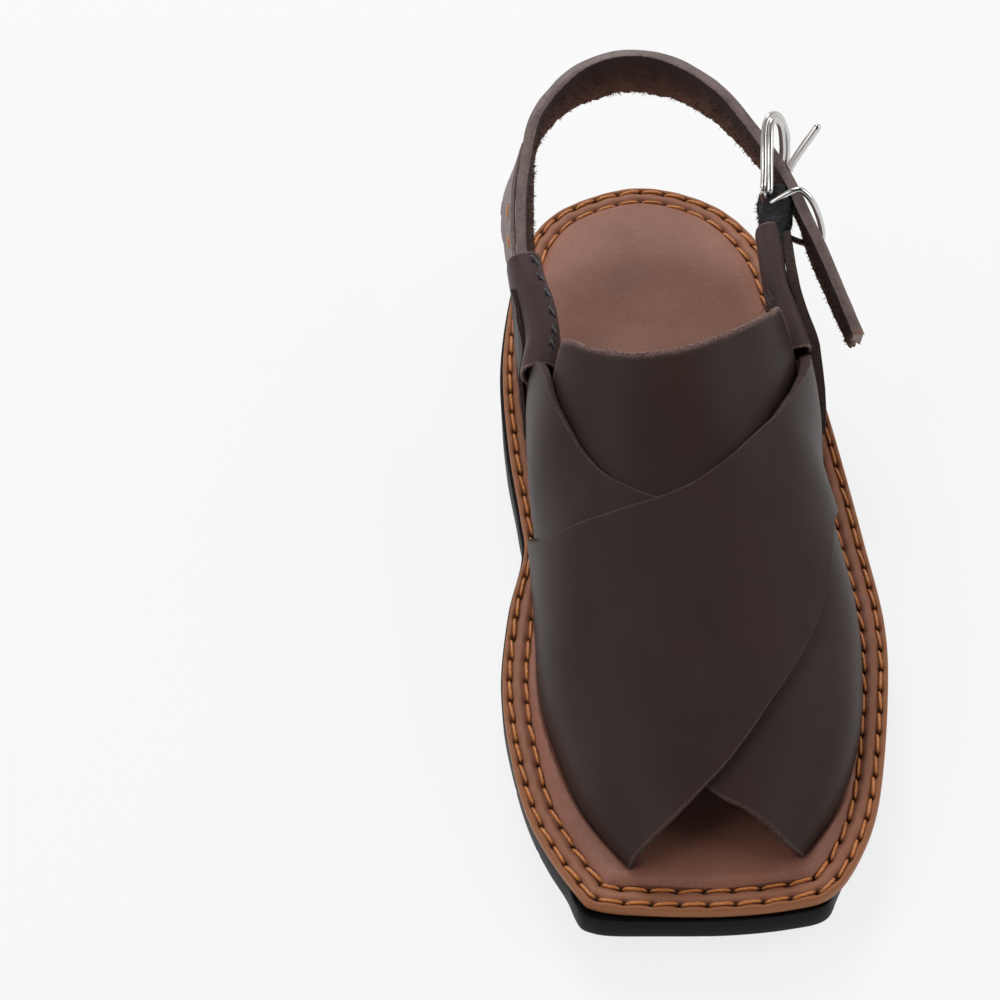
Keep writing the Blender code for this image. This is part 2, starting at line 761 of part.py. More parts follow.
def at_buckle(rows):
    """Places given along, out of and across the strap at the buckle."""
    rows = np.asarray(rows, float)
    point, along, out, across = buckle_place()
    scale = [BUCKLE_LENGTH, BUCKLE_DEPTH, BUCKLE_HEIGHT]
    return point + (rows * scale) @ np.stack([along, out, across])


def wire(name, line, diameter, material, closed=False):
    """Round wire along a line."""
    if closed:
        along = np.roll(line, -1, axis=0) - np.roll(line, 1, axis=0)
    else:
        along = np.gradient(line, axis=0)
    along /= np.linalg.norm(along, axis=1)[:, None]
    first = np.cross(along[0], [0.3, 0.2, 0.9])
    sideways = []
    for direction in along:
        first = first - (first @ direction) * direction
        first /= np.linalg.norm(first)
        sideways.append(first)
    sideways = np.array(sideways)
    other = np.cross(along, sideways)
    angle = np.arange(WIRE_SIDES) * 2.0 * np.pi / WIRE_SIDES
    section = np.stack([np.cos(angle), np.sin(angle)], 1) * diameter / 2.0
    return add_solid(name, *tube(sweep(line, sideways, other, section), closed), material, 60.0)


def frame_wires(name, spread, steel):
    """Ring and keeper of the buckle, thicker by the spread, joined or as two cutters."""
    ring_line = smooth_through(at_buckle(BUCKLE_RING), 41, closed=True)[:-1]
    keeper_line = smooth_through(at_buckle(BUCKLE_KEEPER), 26)
    return (wire(name, ring_line, WIRE + spread, steel, closed=True),
            wire(name + "_keeper", keeper_line, KEEPER_WIRE + spread, steel))


def prong_line():
    """Middle line of the prong."""
    return smooth_through(at_buckle(BUCKLE_PRONG), 12)


def build_buckle(steel):
    """Bent wire frame and its prong, and the hole in the strap that the prong goes through."""
    frame, keeper = frame_wires("buckle_frame", 0.0, steel)
    combine(frame, keeper, "UNION")
    wire("buckle_prong", prong_line(), PRONG_WIRE, steel)
    hole = wire("strap_hole", prong_line(), PRONG_WIRE + 2.0 * CLEARANCE, None)
    combine(bpy.data.objects["heel_strap"], hole, "DIFFERENCE")


def build_buckle_loop(black):
    """Black band that is folded round the bar and runs into the outer tab."""
    points = loop_middle()
    _, out, across = strap_frames(points)
    section = flat_section(LOOP_WIDTH, LOOP_THICKNESS, LOOP_EDGE_CUT)
    loop = add_solid("buckle_loop", *tube(sweep(points, out, across, section)), black)
    for room in frame_wires("bar_room", 2.0 * CLEARANCE, None):
        combine(loop, room, "DIFFERENCE")
    line = prong_line()
    line[0] += 0.4 * (line[0] - line[1])
    room = wire("prong_room", line, PRONG_WIRE + 3.0 * CLEARANCE, None)
    combine(loop, room, "DIFFERENCE")


def main():
    for item in list(bpy.data.objects):
        bpy.data.objects.remove(item, do_unlink=True)
    rubber = make_material("tread_rubber", (0.012, 0.013, 0.014), 0.6)
    board = make_material("edge_leather", (0.20, 0.085, 0.05), 0.55)
    pad = make_material("footbed_leather", (0.20, 0.09, 0.065), 0.6)
    brown = make_material("upper_leather", (0.045, 0.028, 0.025), 0.5)
    steel = make_material("bright_steel", (0.62, 0.62, 0.62), 0.18, 1.0)
    black = make_material("black_loop_leather", (0.012, 0.012, 0.013), 0.8)
    outline = sole_outline()
    build_outsole(outline, rubber)
    build_midsole(outline, board)
    build_insole(outline, pad)
    build_upper(brown)
    build_tongue(brown)
    build_heel_strap(brown)
    build_tabs(brown)
    build_buckle(steel)
    build_buckle_loop(black)


main()
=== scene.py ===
"""Peshawari chappal, the left shoe: its leather, stitches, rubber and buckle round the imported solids.

Metres, +Z up. The toe points along -Y and +X is the outer side of the foot. Places along the shoe
are shares of LENGTH from the heel's end, places across it are shares of BALL_WIDTH.
"""
import math

import bmesh
import bpy
import numpy as np
from mathutils import Matrix, Vector


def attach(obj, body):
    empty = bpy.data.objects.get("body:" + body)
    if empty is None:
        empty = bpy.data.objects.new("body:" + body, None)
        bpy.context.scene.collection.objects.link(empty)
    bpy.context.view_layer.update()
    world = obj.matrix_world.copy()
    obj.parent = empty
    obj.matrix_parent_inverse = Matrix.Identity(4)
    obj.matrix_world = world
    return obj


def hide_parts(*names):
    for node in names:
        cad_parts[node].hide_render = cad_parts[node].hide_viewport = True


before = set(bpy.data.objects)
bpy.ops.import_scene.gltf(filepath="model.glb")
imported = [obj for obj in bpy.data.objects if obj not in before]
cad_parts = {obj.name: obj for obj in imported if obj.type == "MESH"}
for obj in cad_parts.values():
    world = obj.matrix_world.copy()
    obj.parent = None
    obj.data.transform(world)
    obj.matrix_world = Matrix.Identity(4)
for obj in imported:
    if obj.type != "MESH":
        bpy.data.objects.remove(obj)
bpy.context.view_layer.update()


# Outsole
# One moulded block of black rubber, highest under the heel, with a bevelled lower edge. Its tread
# is four zigzag grooves along the foot and straight grooves from them to both sides.

LENGTH = 0.280
BALL_WIDTH = 0.112
HEEL_REACH = 0.042
GAP = 0.0003
HEEL_THICKNESS = 0.0240
FOREFOOT_THICKNESS = 0.0130
ARCH_RISE = 0.0040
TOE_SPRING = 0.0075
OUTSOLE_OVERHANG = 0.0004
OUTSOLE_SHIFT = -0.0006
SHOULDER_WIDTH = 0.0028
SHOULDER_HEIGHT = 0.0030
MIDSOLE_THICKNESS = 0.0037
TREAD_PITCH = 0.0225
TREAD_DEPTH = 0.0040
ZIGZAG_WIDTH = 0.0016
ZIGZAG_SWING = 0.0033
ZIGZAG_SPACING = 0.0145
CROSS_GROOVE_WIDTH = 0.0025
RUBBER_BLACK = (0.0030, 0.0032, 0.0034)
RUBBER_GREY = (0.0120, 0.0130, 0.0142)

# Sole outline from the heel's end along the inner side to the toe and back: along, across
OUTLINE = [
    (0.000, -0.005), (0.023, -0.215), (0.069, -0.328), (0.139, -0.388), (0.260, -0.433),
    (0.372, -0.430), (0.465, -0.408), (0.516, -0.402), (0.588, -0.446), (0.686, -0.477),
    (0.778, -0.465), (0.871, -0.420), (0.957, -0.321), (0.979, -0.270), (0.9890, -0.140),
    (0.9945, 0.040), (0.9905, 0.205), (0.977, 0.310), (0.931, 0.392), (0.862, 0.458),
    (0.740, 0.514), (0.639, 0.535), (0.529, 0.511), (0.423, 0.479), (0.320, 0.440),
    (0.208, 0.385), (0.115, 0.335), (0.0375, 0.206),
]
TOE_ROW = 15

# How far the rubber stands back from the leather's edge: along, inner and outer side in millimetres
RUBBER_INSET = [
    (-0.02, 0.0, 0.0), (0.46, 0.0, 0.2), (0.62, 0.2, 1.4), (0.70, 0.5, 2.0), (0.79, 1.4, 2.6),
    (0.90, 1.9, 3.4), (0.945, 1.0, 3.0), (0.965, -0.6, 1.8), (0.983, -1.5, -0.6),
    (0.992, -0.6, -0.6), (1.00, -0.6, -0.6),
]

# Heights along the sole: along, rise of the arch, toe spring under and over the sole, heel lift
PROFILE = [
    (-0.02, 0.00, 0.00, 0.00, 1.00), (0.14, 0.00, 0.00, 0.00, 0.97), (0.28, 0.00, 0.00, 0.00, 0.82),
    (0.36, 0.60, 0.00, 0.00, 0.60), (0.45, 1.00, 0.00, 0.00, 0.28), (0.53, 0.50, 0.00, 0.00, 0.08),
    (0.60, 0.00, 0.00, 0.00, 0.00), (0.84, 0.00, 0.00, 0.00, 0.00), (0.92, 0.00, 0.25, 0.14, 0.00),
    (1.02, 0.00, 1.10, 0.54, 0.00),
]


class Socket:
    """One output of a shader node. Python's operators on it add Math nodes."""

    def __init__(self, finish, link):
        self.finish = finish
        self.link = link

    def math(self, operation, *values):
        return self.finish.node("ShaderNodeMath", {"operation": operation}, dict(enumerate(values)))

    def __add__(self, other):
        return self.math("ADD", self, other)

    def __sub__(self, other):
        return self.math("SUBTRACT", self, other)

    def __rsub__(self, other):
        return self.math("SUBTRACT", other, self)

    def __mul__(self, other):
        return self.math("MULTIPLY", self, other)

    def fade(self, low, high):
        """Smooth step of the value from 0 at low to 1 at high."""
        return self.finish.node("ShaderNodeMapRange", {"interpolation_type": "SMOOTHSTEP"},
                                {"Value": self, "From Min": low, "From Max": high})


class Finish:
    """Material, or another holder of shader nodes, whose nodes are added one call at a time."""

    def __init__(self, name, holder=None, shader="Principled BSDF"):
        self.material = holder or bpy.data.materials.new(name)
        self.material.use_nodes = True
        self.tree = self.material.node_tree
        self.shader = self.tree.nodes[shader]

    def node(self, kind, settings, sockets, output=0):
        """Node of a kind with its settings, then the values or links of its sockets."""
        node = self.tree.nodes.new(kind)
        for name, value in settings.items():
            setattr(node, name, value)
        for name, value in sockets.items():
            self.put(node.inputs[name], value)
        return Socket(self, node.outputs[output])

    def put(self, socket, value):
        if isinstance(value, Socket):
            self.tree.links.new(value.link, socket)
        elif socket.type == "RGBA":
            socket.default_value = (*value, 1.0)
        else:
            socket.default_value = value

    def place(self, scale=(1.0, 1.0, 1.0), turn=(0.0, 0.0, 0.0)):
        """Object coordinates in metres, stretched or turned."""
        here = self.node("ShaderNodeTexCoord", {}, {}, "Object")
        return self.node("ShaderNodeMapping", {}, {"Vector": here, "Scale": scale, "Rotation": turn})

    def noise(self, size, detail=3.0, rough=0.5, scale=(1.0, 1.0, 1.0), turn=(0.0, 0.0, 0.0)):
        """Noise whose largest grain is about size metres."""
        return self.node("ShaderNodeTexNoise", {}, {
            "Vector": self.place(scale, turn), "Scale": 1.0 / size, "Detail": detail, "Roughness": rough})

    def cells(self, size):
        """Distance inside cells of about size metres."""
        return self.node("ShaderNodeTexVoronoi", {}, {"Vector": self.place(), "Scale": 1.0 / size})

    def mark(self, name):
        """Value that a piece carries at its points."""
        return self.node("ShaderNodeAttribute", {"attribute_name": name}, {}, "Fac")

    def mix(self, share, first, second):
        """Colour between two colours."""
        return self.node("ShaderNodeMix", {"data_type": "RGBA"}, {0: share, 6: first, 7: second}, 2)

    def bump(self, height, distance, strength=1.0, before=None):
        """Normal from a height in units of distance metres, on top of an earlier normal."""
        sockets = {"Height": height, "Distance": distance, "Strength": strength}
        if before:
            sockets["Normal"] = before
        return self.node("ShaderNodeBump", {}, sockets)

    def surface(self, **values):
        """Values or links for the shader's own sockets, named with _ for a space."""
        for name, value in values.items():
            self.put(self.shader.inputs[name.replace("_", " ")], value)
        return self.material


def smooth_through(rows, count, closed=False):
    """Points spaced evenly in length on a Catmull-Rom curve through the rows."""
    rows = np.asarray(rows, float)
    size = len(rows)
    spans = size if closed else size - 1
    steps = np.linspace(0.0, spans, spans * 24 + 1)
    base = np.minimum(steps.astype(int), spans - 1)
    part = (steps - base)[:, None]
    padded = rows if closed else np.vstack([2 * rows[0] - rows[1], rows, 2 * rows[-1] - rows[-2]])
    shift = 0 if closed else 1
    around = [padded[(base + shift + offset) % len(padded)] for offset in (-1, 0, 1, 2)]
    first, second, third, fourth = around
    curve = 0.5 * (2 * second + (third - first) * part
                   + (2 * first - 5 * second + 4 * third - fourth) * part ** 2
                   + (3 * second - first - 3 * third + fourth) * part ** 3)
    return even(curve, count)


def unit(vectors):
    """Vectors of length one."""
    vectors = np.asarray(vectors, float)
    return vectors / np.linalg.norm(vectors, axis=-1)[..., None]


def travelled(line):
    """Length along a line up to each of its points."""
    return np.concatenate([[0.0], np.cumsum(np.linalg.norm(np.diff(line, axis=0), axis=1))])


def even(line, count):
    """Line with points spaced evenly in length."""
    length = travelled(line)
    wanted = np.linspace(0.0, length[-1], count)
    return np.stack([np.interp(wanted, length, column) for column in line.T], 1)


def read_table(rows, place):
    """Smooth values of a table's columns at places along its first column."""
    rows = np.asarray(rows, float)
    keys = rows[:, 0]
    place = np.clip(np.asarray(place, float), keys[0], keys[-1])
    slopes = np.gradient(rows[:, 1:], keys, axis=0)
    index = np.clip(np.searchsorted(keys, place, side="right") - 1, 0, len(keys) - 2)
    width = (keys[index + 1] - keys[index])[..., None]
    part = (place - keys[index])[..., None] / width
    start, end = rows[index, 1:], rows[index + 1, 1:]
    blend = part * part * (3.0 - 2.0 * part)
    values = (start * (1.0 - blend) + end * blend
              + width * slopes[index] * part * (1.0 - part) ** 2
              - width * slopes[index + 1] * part ** 2 * (1.0 - part))
    return np.moveaxis(values, -1, 0)


def along_to_y(along):
    """Place along the shoe as a length from the origin."""
    return HEEL_REACH - np.asarray(along) * LENGTH


def underside(y):
    """Height of the rubber over the floor."""
    rise, spring, _, _ = read_table(PROFILE, (HEEL_REACH - y) / LENGTH)
    return np.maximum(rise, 0.0) * ARCH_RISE + np.maximum(spring, 0.0) * TOE_SPRING


def bed(y):
    """Height of the stitched leather layer's top."""
    _, _, lift, heel = read_table(PROFILE, (HEEL_REACH - y) / LENGTH)
    thickness = FOREFOOT_THICKNESS + heel * (HEEL_THICKNESS - FOREFOOT_THICKNESS)
    return thickness + np.maximum(lift, 0.0) * TOE_SPRING + GAP + MIDSOLE_THICKNESS


def sole_outline(half):
    """Outline with half its points along each side, from the heel's end round by the toe."""
    rows = np.array([(across * BALL_WIDTH, HEEL_REACH - along * LENGTH) for along, across in OUTLINE])
    curve = smooth_through(rows, 48 * len(rows) + 1, closed=True)[:-1]
    toe = int(np.argmin(np.linalg.norm(curve - rows[TOE_ROW], axis=1)))
    inner = even(curve[:toe + 1], half + 1)
    outer = even(np.vstack([curve[toe:], curve[:1]]), half + 1)
    return np.vstack([inner[:-1], outer[:-1]])


def inset(outline, distance):
    """Outline moved inwards across its own direction, by one distance or by an array of them."""
    direction = unit(np.roll(outline, -2, axis=0) - np.roll(outline, 2, axis=0))
    outwards = np.stack([direction[:, 1], -direction[:, 0]], 1)
    return outline[None] - outwards[None] * np.reshape(distance, (-1, 1, 1))


def grid_faces(rows, columns, wrap=False, start=0):
    """Quads of a grid of points, its columns joined end to end when wrap is set."""
    row = np.arange(rows - 1)[:, None]
    column = np.arange(columns if wrap else columns - 1)[None]
    after = (column + 1) % columns
    quads = [row * columns + column, row * columns + after,
             (row + 1) * columns + after, (row + 1) * columns + column]
    return np.stack(np.broadcast_arrays(*quads), -1).reshape(-1, 4) + start


def face_outwards(mesh):
    """Turn the faces of a closed mesh outwards."""
    work = bmesh.new()
    work.from_mesh(mesh)
    bmesh.ops.recalc_face_normals(work, faces=work.faces)
    work.to_mesh(mesh)
    work.free()


def link(name, data):
    """Object of its data, put in the scene."""
    thing = bpy.data.objects.new(name, data)
    bpy.context.scene.collection.objects.link(thing)
    return thing


def add_piece(name, points, faces, material, replaced=(), marks=None, sharp=35.0):
    """Mesh piece that rides on the shoe, its faces turned outwards, with values at its points."""
    mesh = bpy.data.meshes.new(name)
    mesh.from_pydata(np.asarray(points).reshape(-1, 3).tolist(), [], faces)
    for mark, values in (marks or {}).items():
        layer = mesh.attributes.new(mark, "FLOAT", "POINT")
        layer.data.foreach_set("value", np.asarray(values, np.float32).ravel())
    face_outwards(mesh)
    mesh.shade_smooth()
    mesh.set_sharp_from_angle(angle=math.radians(sharp))
    piece = link(name, mesh)
    mesh.materials.append(material)
    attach(piece, "root")
    if replaced:
        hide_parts(*replaced)
    return piece


def ladder(count, start=0, flip=False):
    """Quads across a closed ring whose first half mirrors its second half."""
    half = count // 2
    left = np.arange(half)
    corners = [left, left + 1, count - left - 1, (count - left) % count]
    rungs = np.stack(corners, 1) + start
    faces = [tuple(dict.fromkeys(row)) for row in rungs.tolist()]
    return [tuple(reversed(face)) for face in faces] if flip else faces


def stacked_rings(rows, count):
    """Faces of closed rings one over the other, with rungs across the first and the last."""
    faces = [tuple(face) for face in grid_faces(rows, count, True).tolist()]
    return faces + ladder(count, 0, True) + ladder(count, (rows - 1) * count)


def rubber_finish():
    """Black moulded rubber: fine grain, dusty in streaky patches, a low gloss."""
    finish = Finish("tread_rubber_moulded")
    grain = finish.noise(0.0009, 4.0, 0.6)
    cloud = finish.noise(0.018, 3.0, 0.5)
    streak = finish.noise(0.006, 3.0, 0.6, (1.0, 1.0, 0.15))
    dust = (cloud * 0.6 + streak * 0.4).fade(0.42, 0.72)
    colour = finish.mix(dust * 0.55, RUBBER_BLACK, RUBBER_GREY)
    normal = finish.bump(grain, 0.00012, 0.5)
    normal = finish.bump(streak, 0.0004, 0.35, normal)
    return finish.surface(Base_Color=colour, Roughness=dust * 0.14 + 0.48, Normal=normal,
                          Specular_IOR_Level=0.08)


def tread_cutter():
    """Points and faces of the tread's grooves: zigzags lane by lane, then the cross grooves."""
    low, high = -TREAD_DEPTH, TREAD_DEPTH
    points, faces = [], []

    def groove(line, half_x, half_y):
        """Box section carried along a flat line."""
        line = np.asarray(line, float)
        offsets = np.array([(-half_x, -half_y, low), (half_x, half_y, low),
                            (half_x, half_y, high), (-half_x, -half_y, high)])
        start = sum(len(block) for block in points)
        points.append((np.column_stack([line, np.zeros(len(line))])[:, None] + offsets).reshape(-1, 3))
        faces.extend(map(tuple, grid_faces(len(line), 4, True, start).tolist()))
        faces.append(tuple(range(start, start + 4)))
        end = start + 4 * (len(line) - 1)
        faces.append((end + 3, end + 2, end + 1, end))

    for first, final in ((-5, 3), (9, 21)):
        steps = np.arange(first, final + 1)
        y = -steps * TREAD_PITCH / 2.0
        swing = np.where(steps % 2, 1.0, -1.0) * ZIGZAG_SWING
        for lane in range(4):
            x = (lane - 1.5) * ZIGZAG_SPACING + swing
            groove(np.column_stack([x, y]), ZIGZAG_WIDTH / 2.0, 0.0)
        for step, place, turn in zip(steps, y, swing):
            side = 1.0 if step % 2 else -1.0
            corner = side * 1.5 * ZIGZAG_SPACING + turn
            groove([(corner, place), (side * BALL_WIDTH, place)], 0.0, CROSS_GROOVE_WIDTH / 2.0)
    return np.vstack(points), faces


def build_outsole():
    """Rings of the outline stacked from the underside to the top, less the tread's grooves."""
    outline = sole_outline(300)
    inner, outer = read_table(RUBBER_INSET, (HEEL_REACH - outline[:, 1]) / LENGTH) / 1000.0
    back = np.where(outline[:, 0] < 0.0, inner, outer)[:, None]
    outline = outline * (1.0 - back) + inset(outline, 1.0)[0] * back + [OUTSOLE_SHIFT, 0.0]
    wall = SHOULDER_WIDTH - OUTSOLE_OVERHANG
    # inset from the outline, share of the wall's height, height over the underside
    section = [
        (wall + 0.0036, 0.0, 0.0), (wall + 0.0032, 0.0, 0.0005), (wall + 0.0028, 0.0, 0.0),
        (wall, 0.0, 0.0), (0.50 * wall, 0.0, 0.0010), (-0.0002, 0.0, SHOULDER_HEIGHT * 0.72),
        (-OUTSOLE_OVERHANG, 0.0, SHOULDER_HEIGHT), (-OUTSOLE_OVERHANG, 0.5, 0.0),
        (-OUTSOLE_OVERHANG, 1.0, -0.0006), (-0.0002, 1.0, 0.0),
    ]
    rings = []
    for distance, share, height in section:
        line = inset(outline, distance)[0]
        low = underside(line[:, 1])
        top = bed(line[:, 1]) - MIDSOLE_THICKNESS - GAP
        rings.append(np.column_stack([line, low * (1.0 - share) + top * share + height]))
    faces = stacked_rings(len(rings), len(outline))
    outsole = add_piece("outsole_rubber", rings, faces, rubber_finish(), ["outsole"])
    carve(outsole, *tread_cutter())


def carve(piece, points, faces):
    """Take a closed shape out of a piece for good."""
    mesh = bpy.data.meshes.new("cutter")
    mesh.from_pydata(points.tolist(), [], faces)
    cutter = link("cutter", mesh)
    face_outwards(mesh)
    modifier = piece.modifiers.new("Carve", "BOOLEAN")
    modifier.object = cutter
    modifier.solver = "EXACT"
    modifier.use_self = True
    depsgraph = bpy.context.evaluated_depsgraph_get()
    mesh = bpy.data.meshes.new_from_object(piece.evaluated_get(depsgraph))
    piece.modifiers.clear()
    piece.data = mesh
    mesh.set_sharp_from_angle(angle=math.radians(35.0))
    bpy.data.objects.remove(cutter)


build_outsole()


# Midsole
# A band of sole leather between rubber and footbed. It shows as a rounded brown edge and, on top,
# a rim, two sunk rows of needle holes and the soft bead that the leather makes between them.

OUTER_ROW = 0.0023
INNER_ROW = 0.0071
STITCH_PITCH = 0.0077
HOLE_DEPTH = 0.0010
HOLE_LENGTH = 0.00095
HOLE_WIDTH = 0.00075
PUCKER = 0.00022
FOOTBED_BROWN = (0.285, 0.122, 0.082)
FOOTBED_DARK = (0.150, 0.059, 0.038)
EDGE_BROWN = (0.275, 0.104, 0.040)
# Painted shade for the inside of the needle holes
HOLE_SHADE = (0.016, 0.006, 0.004)

# Section of the leather layer from its underside out round the edge to the middle:
# inset from the outline, height over its top face, both in millimetres
MIDSOLE_SECTION = [
    (3.0, -3.70), (0.75, -3.70), (0.30, -3.55), (0.03, -3.10), (-0.05, -2.50), (-0.02, -1.80),
    (0.00, -1.10), (0.10, -0.55), (0.36, -0.16), (0.75, 0.02), (1.10, 0.05), (1.40, -0.08),
    (1.65, -0.28), (1.95, -0.45), (2.30, -0.50), (2.65, -0.42), (2.95, -0.20), (3.30, 0.08),
    (3.70, 0.30), (4.20, 0.42), (4.70, 0.45), (5.20, 0.40), (5.65, 0.24), (6.05, 0.00),
    (6.40, -0.25), (6.75, -0.45), (7.10, -0.52), (7.45, -0.54), (7.80, -0.55), (8.80, -0.55),
    (10.5, -0.55),
]


def hole_nearness(line):
    """Distance along a closed line to the nearest needle hole, and the number of holes."""
    closed = np.vstack([line, line[:1]])
    length = travelled(closed)
    count = int(round(length[-1] / STITCH_PITCH))
    part = (length[:-1] / length[-1] * count) % 1.0
    return np.minimum(part, 1.0 - part) * length[-1] / count, count


def footbed_finish(name):
    """Brown corrected leather: fine pores, fine scuffs across the foot, painted shade in its needle holes.
    """
    finish = Finish(name)
    cloud = finish.noise(0.030, 3.0, 0.55)
    fleck = finish.noise(0.0011, 4.0, 0.65)
    scuff = finish.noise(0.0013, 4.0, 0.65, (0.22, 1.0, 1.0))
    cross = finish.noise(0.0023, 2.0, 0.5, (1.0, 0.22, 1.0))
    pore = finish.cells(0.00085)
    colour = finish.mix(cloud.fade(0.30, 0.72) * 0.45, FOOTBED_BROWN, FOOTBED_DARK)
    lines = scuff.fade(0.50, 0.74) * finish.mark("scuffed")
    colour = finish.mix(lines * 0.24, colour, (0.36, 0.19, 0.155))
    colour = finish.mix(fleck.fade(0.50, 0.74) * 0.45, colour, FOOTBED_DARK)
    dot = finish.noise(0.00055, 2.0, 0.5)
    colour = finish.mix(dot.fade(0.58, 0.72) * 0.30, colour, (0.42, 0.22, 0.165))
    colour = finish.mix(finish.mark("rim"), colour, EDGE_BROWN)
    nick = finish.noise(0.0052, 4.0, 0.7).fade(0.66, 0.74) * finish.mark("rim")
    colour = finish.mix(nick * 0.45, colour, (0.42, 0.22, 0.15))
    # Painted shade: the needle holes take a near-black colour where shade falls in them
    colour = finish.mix(finish.mark("hole"), colour, HOLE_SHADE)
    normal = finish.bump(pore, 0.00010, 0.50)
    normal = finish.bump(scuff * 0.6 + cross * 0.4, 0.00022, 0.40, normal)
    normal = finish.bump(fleck, 0.00010, 0.35, normal)
    rough = fleck * 0.16 + cloud * 0.10 + 0.42
    return finish.surface(Base_Color=colour, Roughness=rough, Normal=normal, Specular_IOR_Level=0.30)


def build_midsole():
    """Section swept round the outline, pressed in at each needle hole of both rows."""
    outline = sole_outline(820)
    section = np.array(MIDSOLE_SECTION) / 1000.0
    lines = inset(outline, section[:, 0])
    height = np.repeat(section[:, 1:], len(outline), 1)
    hole = np.zeros(height.shape)
    for row in (OUTER_ROW, INNER_ROW):
        near, _ = hole_nearness(inset(outline, row)[0])
        side = (section[:, 0] - row)[:, None]
        on_top = (section[:, 1] > -0.0008)[:, None]
        hole = np.maximum(hole, on_top * np.exp(-(near / HOLE_LENGTH) ** 2 - (side / HOLE_WIDTH) ** 2))
        # The thread draws the leather down beside each hole and lets it swell between two holes
        swell = np.cos(near / STITCH_PITCH * 2.0 * np.pi)
        height -= on_top * PUCKER * swell * np.exp(-(side / 0.0017) ** 2)
    height -= hole * HOLE_DEPTH
    z = bed(lines[..., 1]) + height
    points = np.concatenate([lines, z[..., None]], 2)
    count = len(outline)
    faces = stacked_rings(len(section), count)
    depth = section[:, 1:] * 1000.0
    rim = np.interp(section[:, :1] * 1000.0, [0.0, 1.2, 2.2, 4.6, 6.6, 8.0],
                    [1.0, 1.0, 0.25, 0.60, 0.15, 0.0]) * (depth > -3.6)
    marks = {
        # hole also carries the painted shade of the needle holes into the leather's colour
        "hole": np.clip(hole * 1.35 - 0.18, 0.0, 1.0),
        "rim": np.repeat(rim, count, 1),
        "scuffed": np.full(height.shape, 0.35),
    }
    add_piece("midsole_leather", points, faces, footbed_finish("sole_leather"),
              ["midsole"], marks)


build_midsole()


# Stitches
# Thick waxed orange thread, sewn by hand in two rows right round the sole. Each stitch lies slightly
# askew in its groove and dives into a needle hole at both ends.

THREAD_RADIUS = 0.00051
THREAD_SKEW = 0.00032
THREAD_DIVE = 0.0011
THREAD_ORANGE = (0.520, 0.175, 0.036)
# Painted shade between the thread's plies
THREAD_PLY_SHADE = (0.200, 0.052, 0.012)
# Painted highlight of the thread
THREAD_HIGHLIGHT = (0.80, 0.36, 0.11)


def thread_finish():
    """Waxed twisted thread: two plies as slanting ridges, with painted shade between them, painted
    highlights in patches and painted shade where it dives into a hole.
    """
    finish = Finish("orange_waxed_thread")
    twist = finish.mark("twist")
    ply = twist.math("SINE", twist) * 0.5 + 0.5
    fray = finish.noise(0.0007, 3.0, 0.6)
    # Painted shade darkens the thread between its plies
    colour = finish.mix(ply.fade(-0.5, 0.45), THREAD_PLY_SHADE, THREAD_ORANGE)
    # Painted highlights in patches where the fray noise is high
    colour = finish.mix(fray.fade(0.48, 0.75) * 0.55, colour, THREAD_HIGHLIGHT)
    # Painted shade where the thread dives into its needle holes
    colour = finish.mix(finish.mark("dive_shade"), colour, (0.045, 0.014, 0.006))
    normal = finish.bump(ply, 0.00012, 0.40)
    normal = finish.bump(fray, 0.00010, 0.4, normal)
    return finish.surface(Base_Color=colour, Roughness=0.38, Normal=normal, Specular_IOR_Level=0.5)


def circle(around):
    """Angles of points spaced evenly round a circle."""
    return np.arange(around) * 2.0 * np.pi / around


def strand_faces(count, rows, around):
    """Sides, first ends and last ends of closed strands whose points follow one another."""
    start = np.arange(count)[:, None] * rows * around
    sides = (grid_faces(rows, around, True)[None] + start[..., None]).reshape(-1, 4).tolist()
    ring = np.arange(around)
    return sides + (start + ring).tolist() + (start + (rows - 1) * around + ring[::-1]).tolist()


def stitch_row(outline, row, seed, along=10, around=8):
    """Points and marks of one row of stitches.

    Along a stitch the height is a flat-topped arch, 1 - |2t - 1|^4, and the sideways place runs
    from one side of the groove to the other; round it the thread is a circle that narrows at
    both ends.
    """
    chance = np.random.default_rng(seed)
    line = inset(outline, row)[0]
    closed = np.vstack([line, line[:1]])
    length = travelled(closed)
    _, count = hole_nearness(line)
    share = np.linspace(0.03, 0.97, along)
    wanted = (np.arange(count)[:, None] + share) / count * length[-1]
    middle = np.stack([np.interp(wanted, length, closed[:, axis]) for axis in range(2)], -1)
    heading = unit(np.gradient(middle, axis=1))
    sideways = np.stack([heading[..., 1], -heading[..., 0]], -1)
    lean = THREAD_SKEW * (1.0 + 0.5 * chance.standard_normal(count))[:, None]
    middle = middle + sideways * (lean * (1.0 - 2.0 * share))[..., None]
    arch = 1.0 - np.abs(2.0 * share - 1.0) ** 4
    rise = -THREAD_DIVE * (1.0 - arch) + 0.00012 + 0.00010 * chance.standard_normal(count)[:, None]
    z = bed(middle[..., 1]) + rise
    girth = THREAD_RADIUS * (0.55 + 0.45 * arch) * (1.0 + 0.07 * chance.standard_normal(count)[:, None])
    angle = circle(around)
    flat = middle[:, :, None] + sideways[:, :, None] * (girth[..., None] * np.cos(angle))[..., None]
    height = z[..., None] + girth[..., None] * np.sin(angle)
    points = np.concatenate([flat, height[..., None]], -1)
    twist = share[None, :, None] * 22.0 + angle * 2.0 + chance.uniform(0.0, 6.28, count)[:, None, None]
    # Share of painted shade at both ends of a stitch, where it dives into its needle holes
    dive_shade = np.broadcast_to(np.clip(1.0 - arch * 1.25, 0.0, 1.0)[None, :, None], twist.shape)
    return points, twist, dive_shade


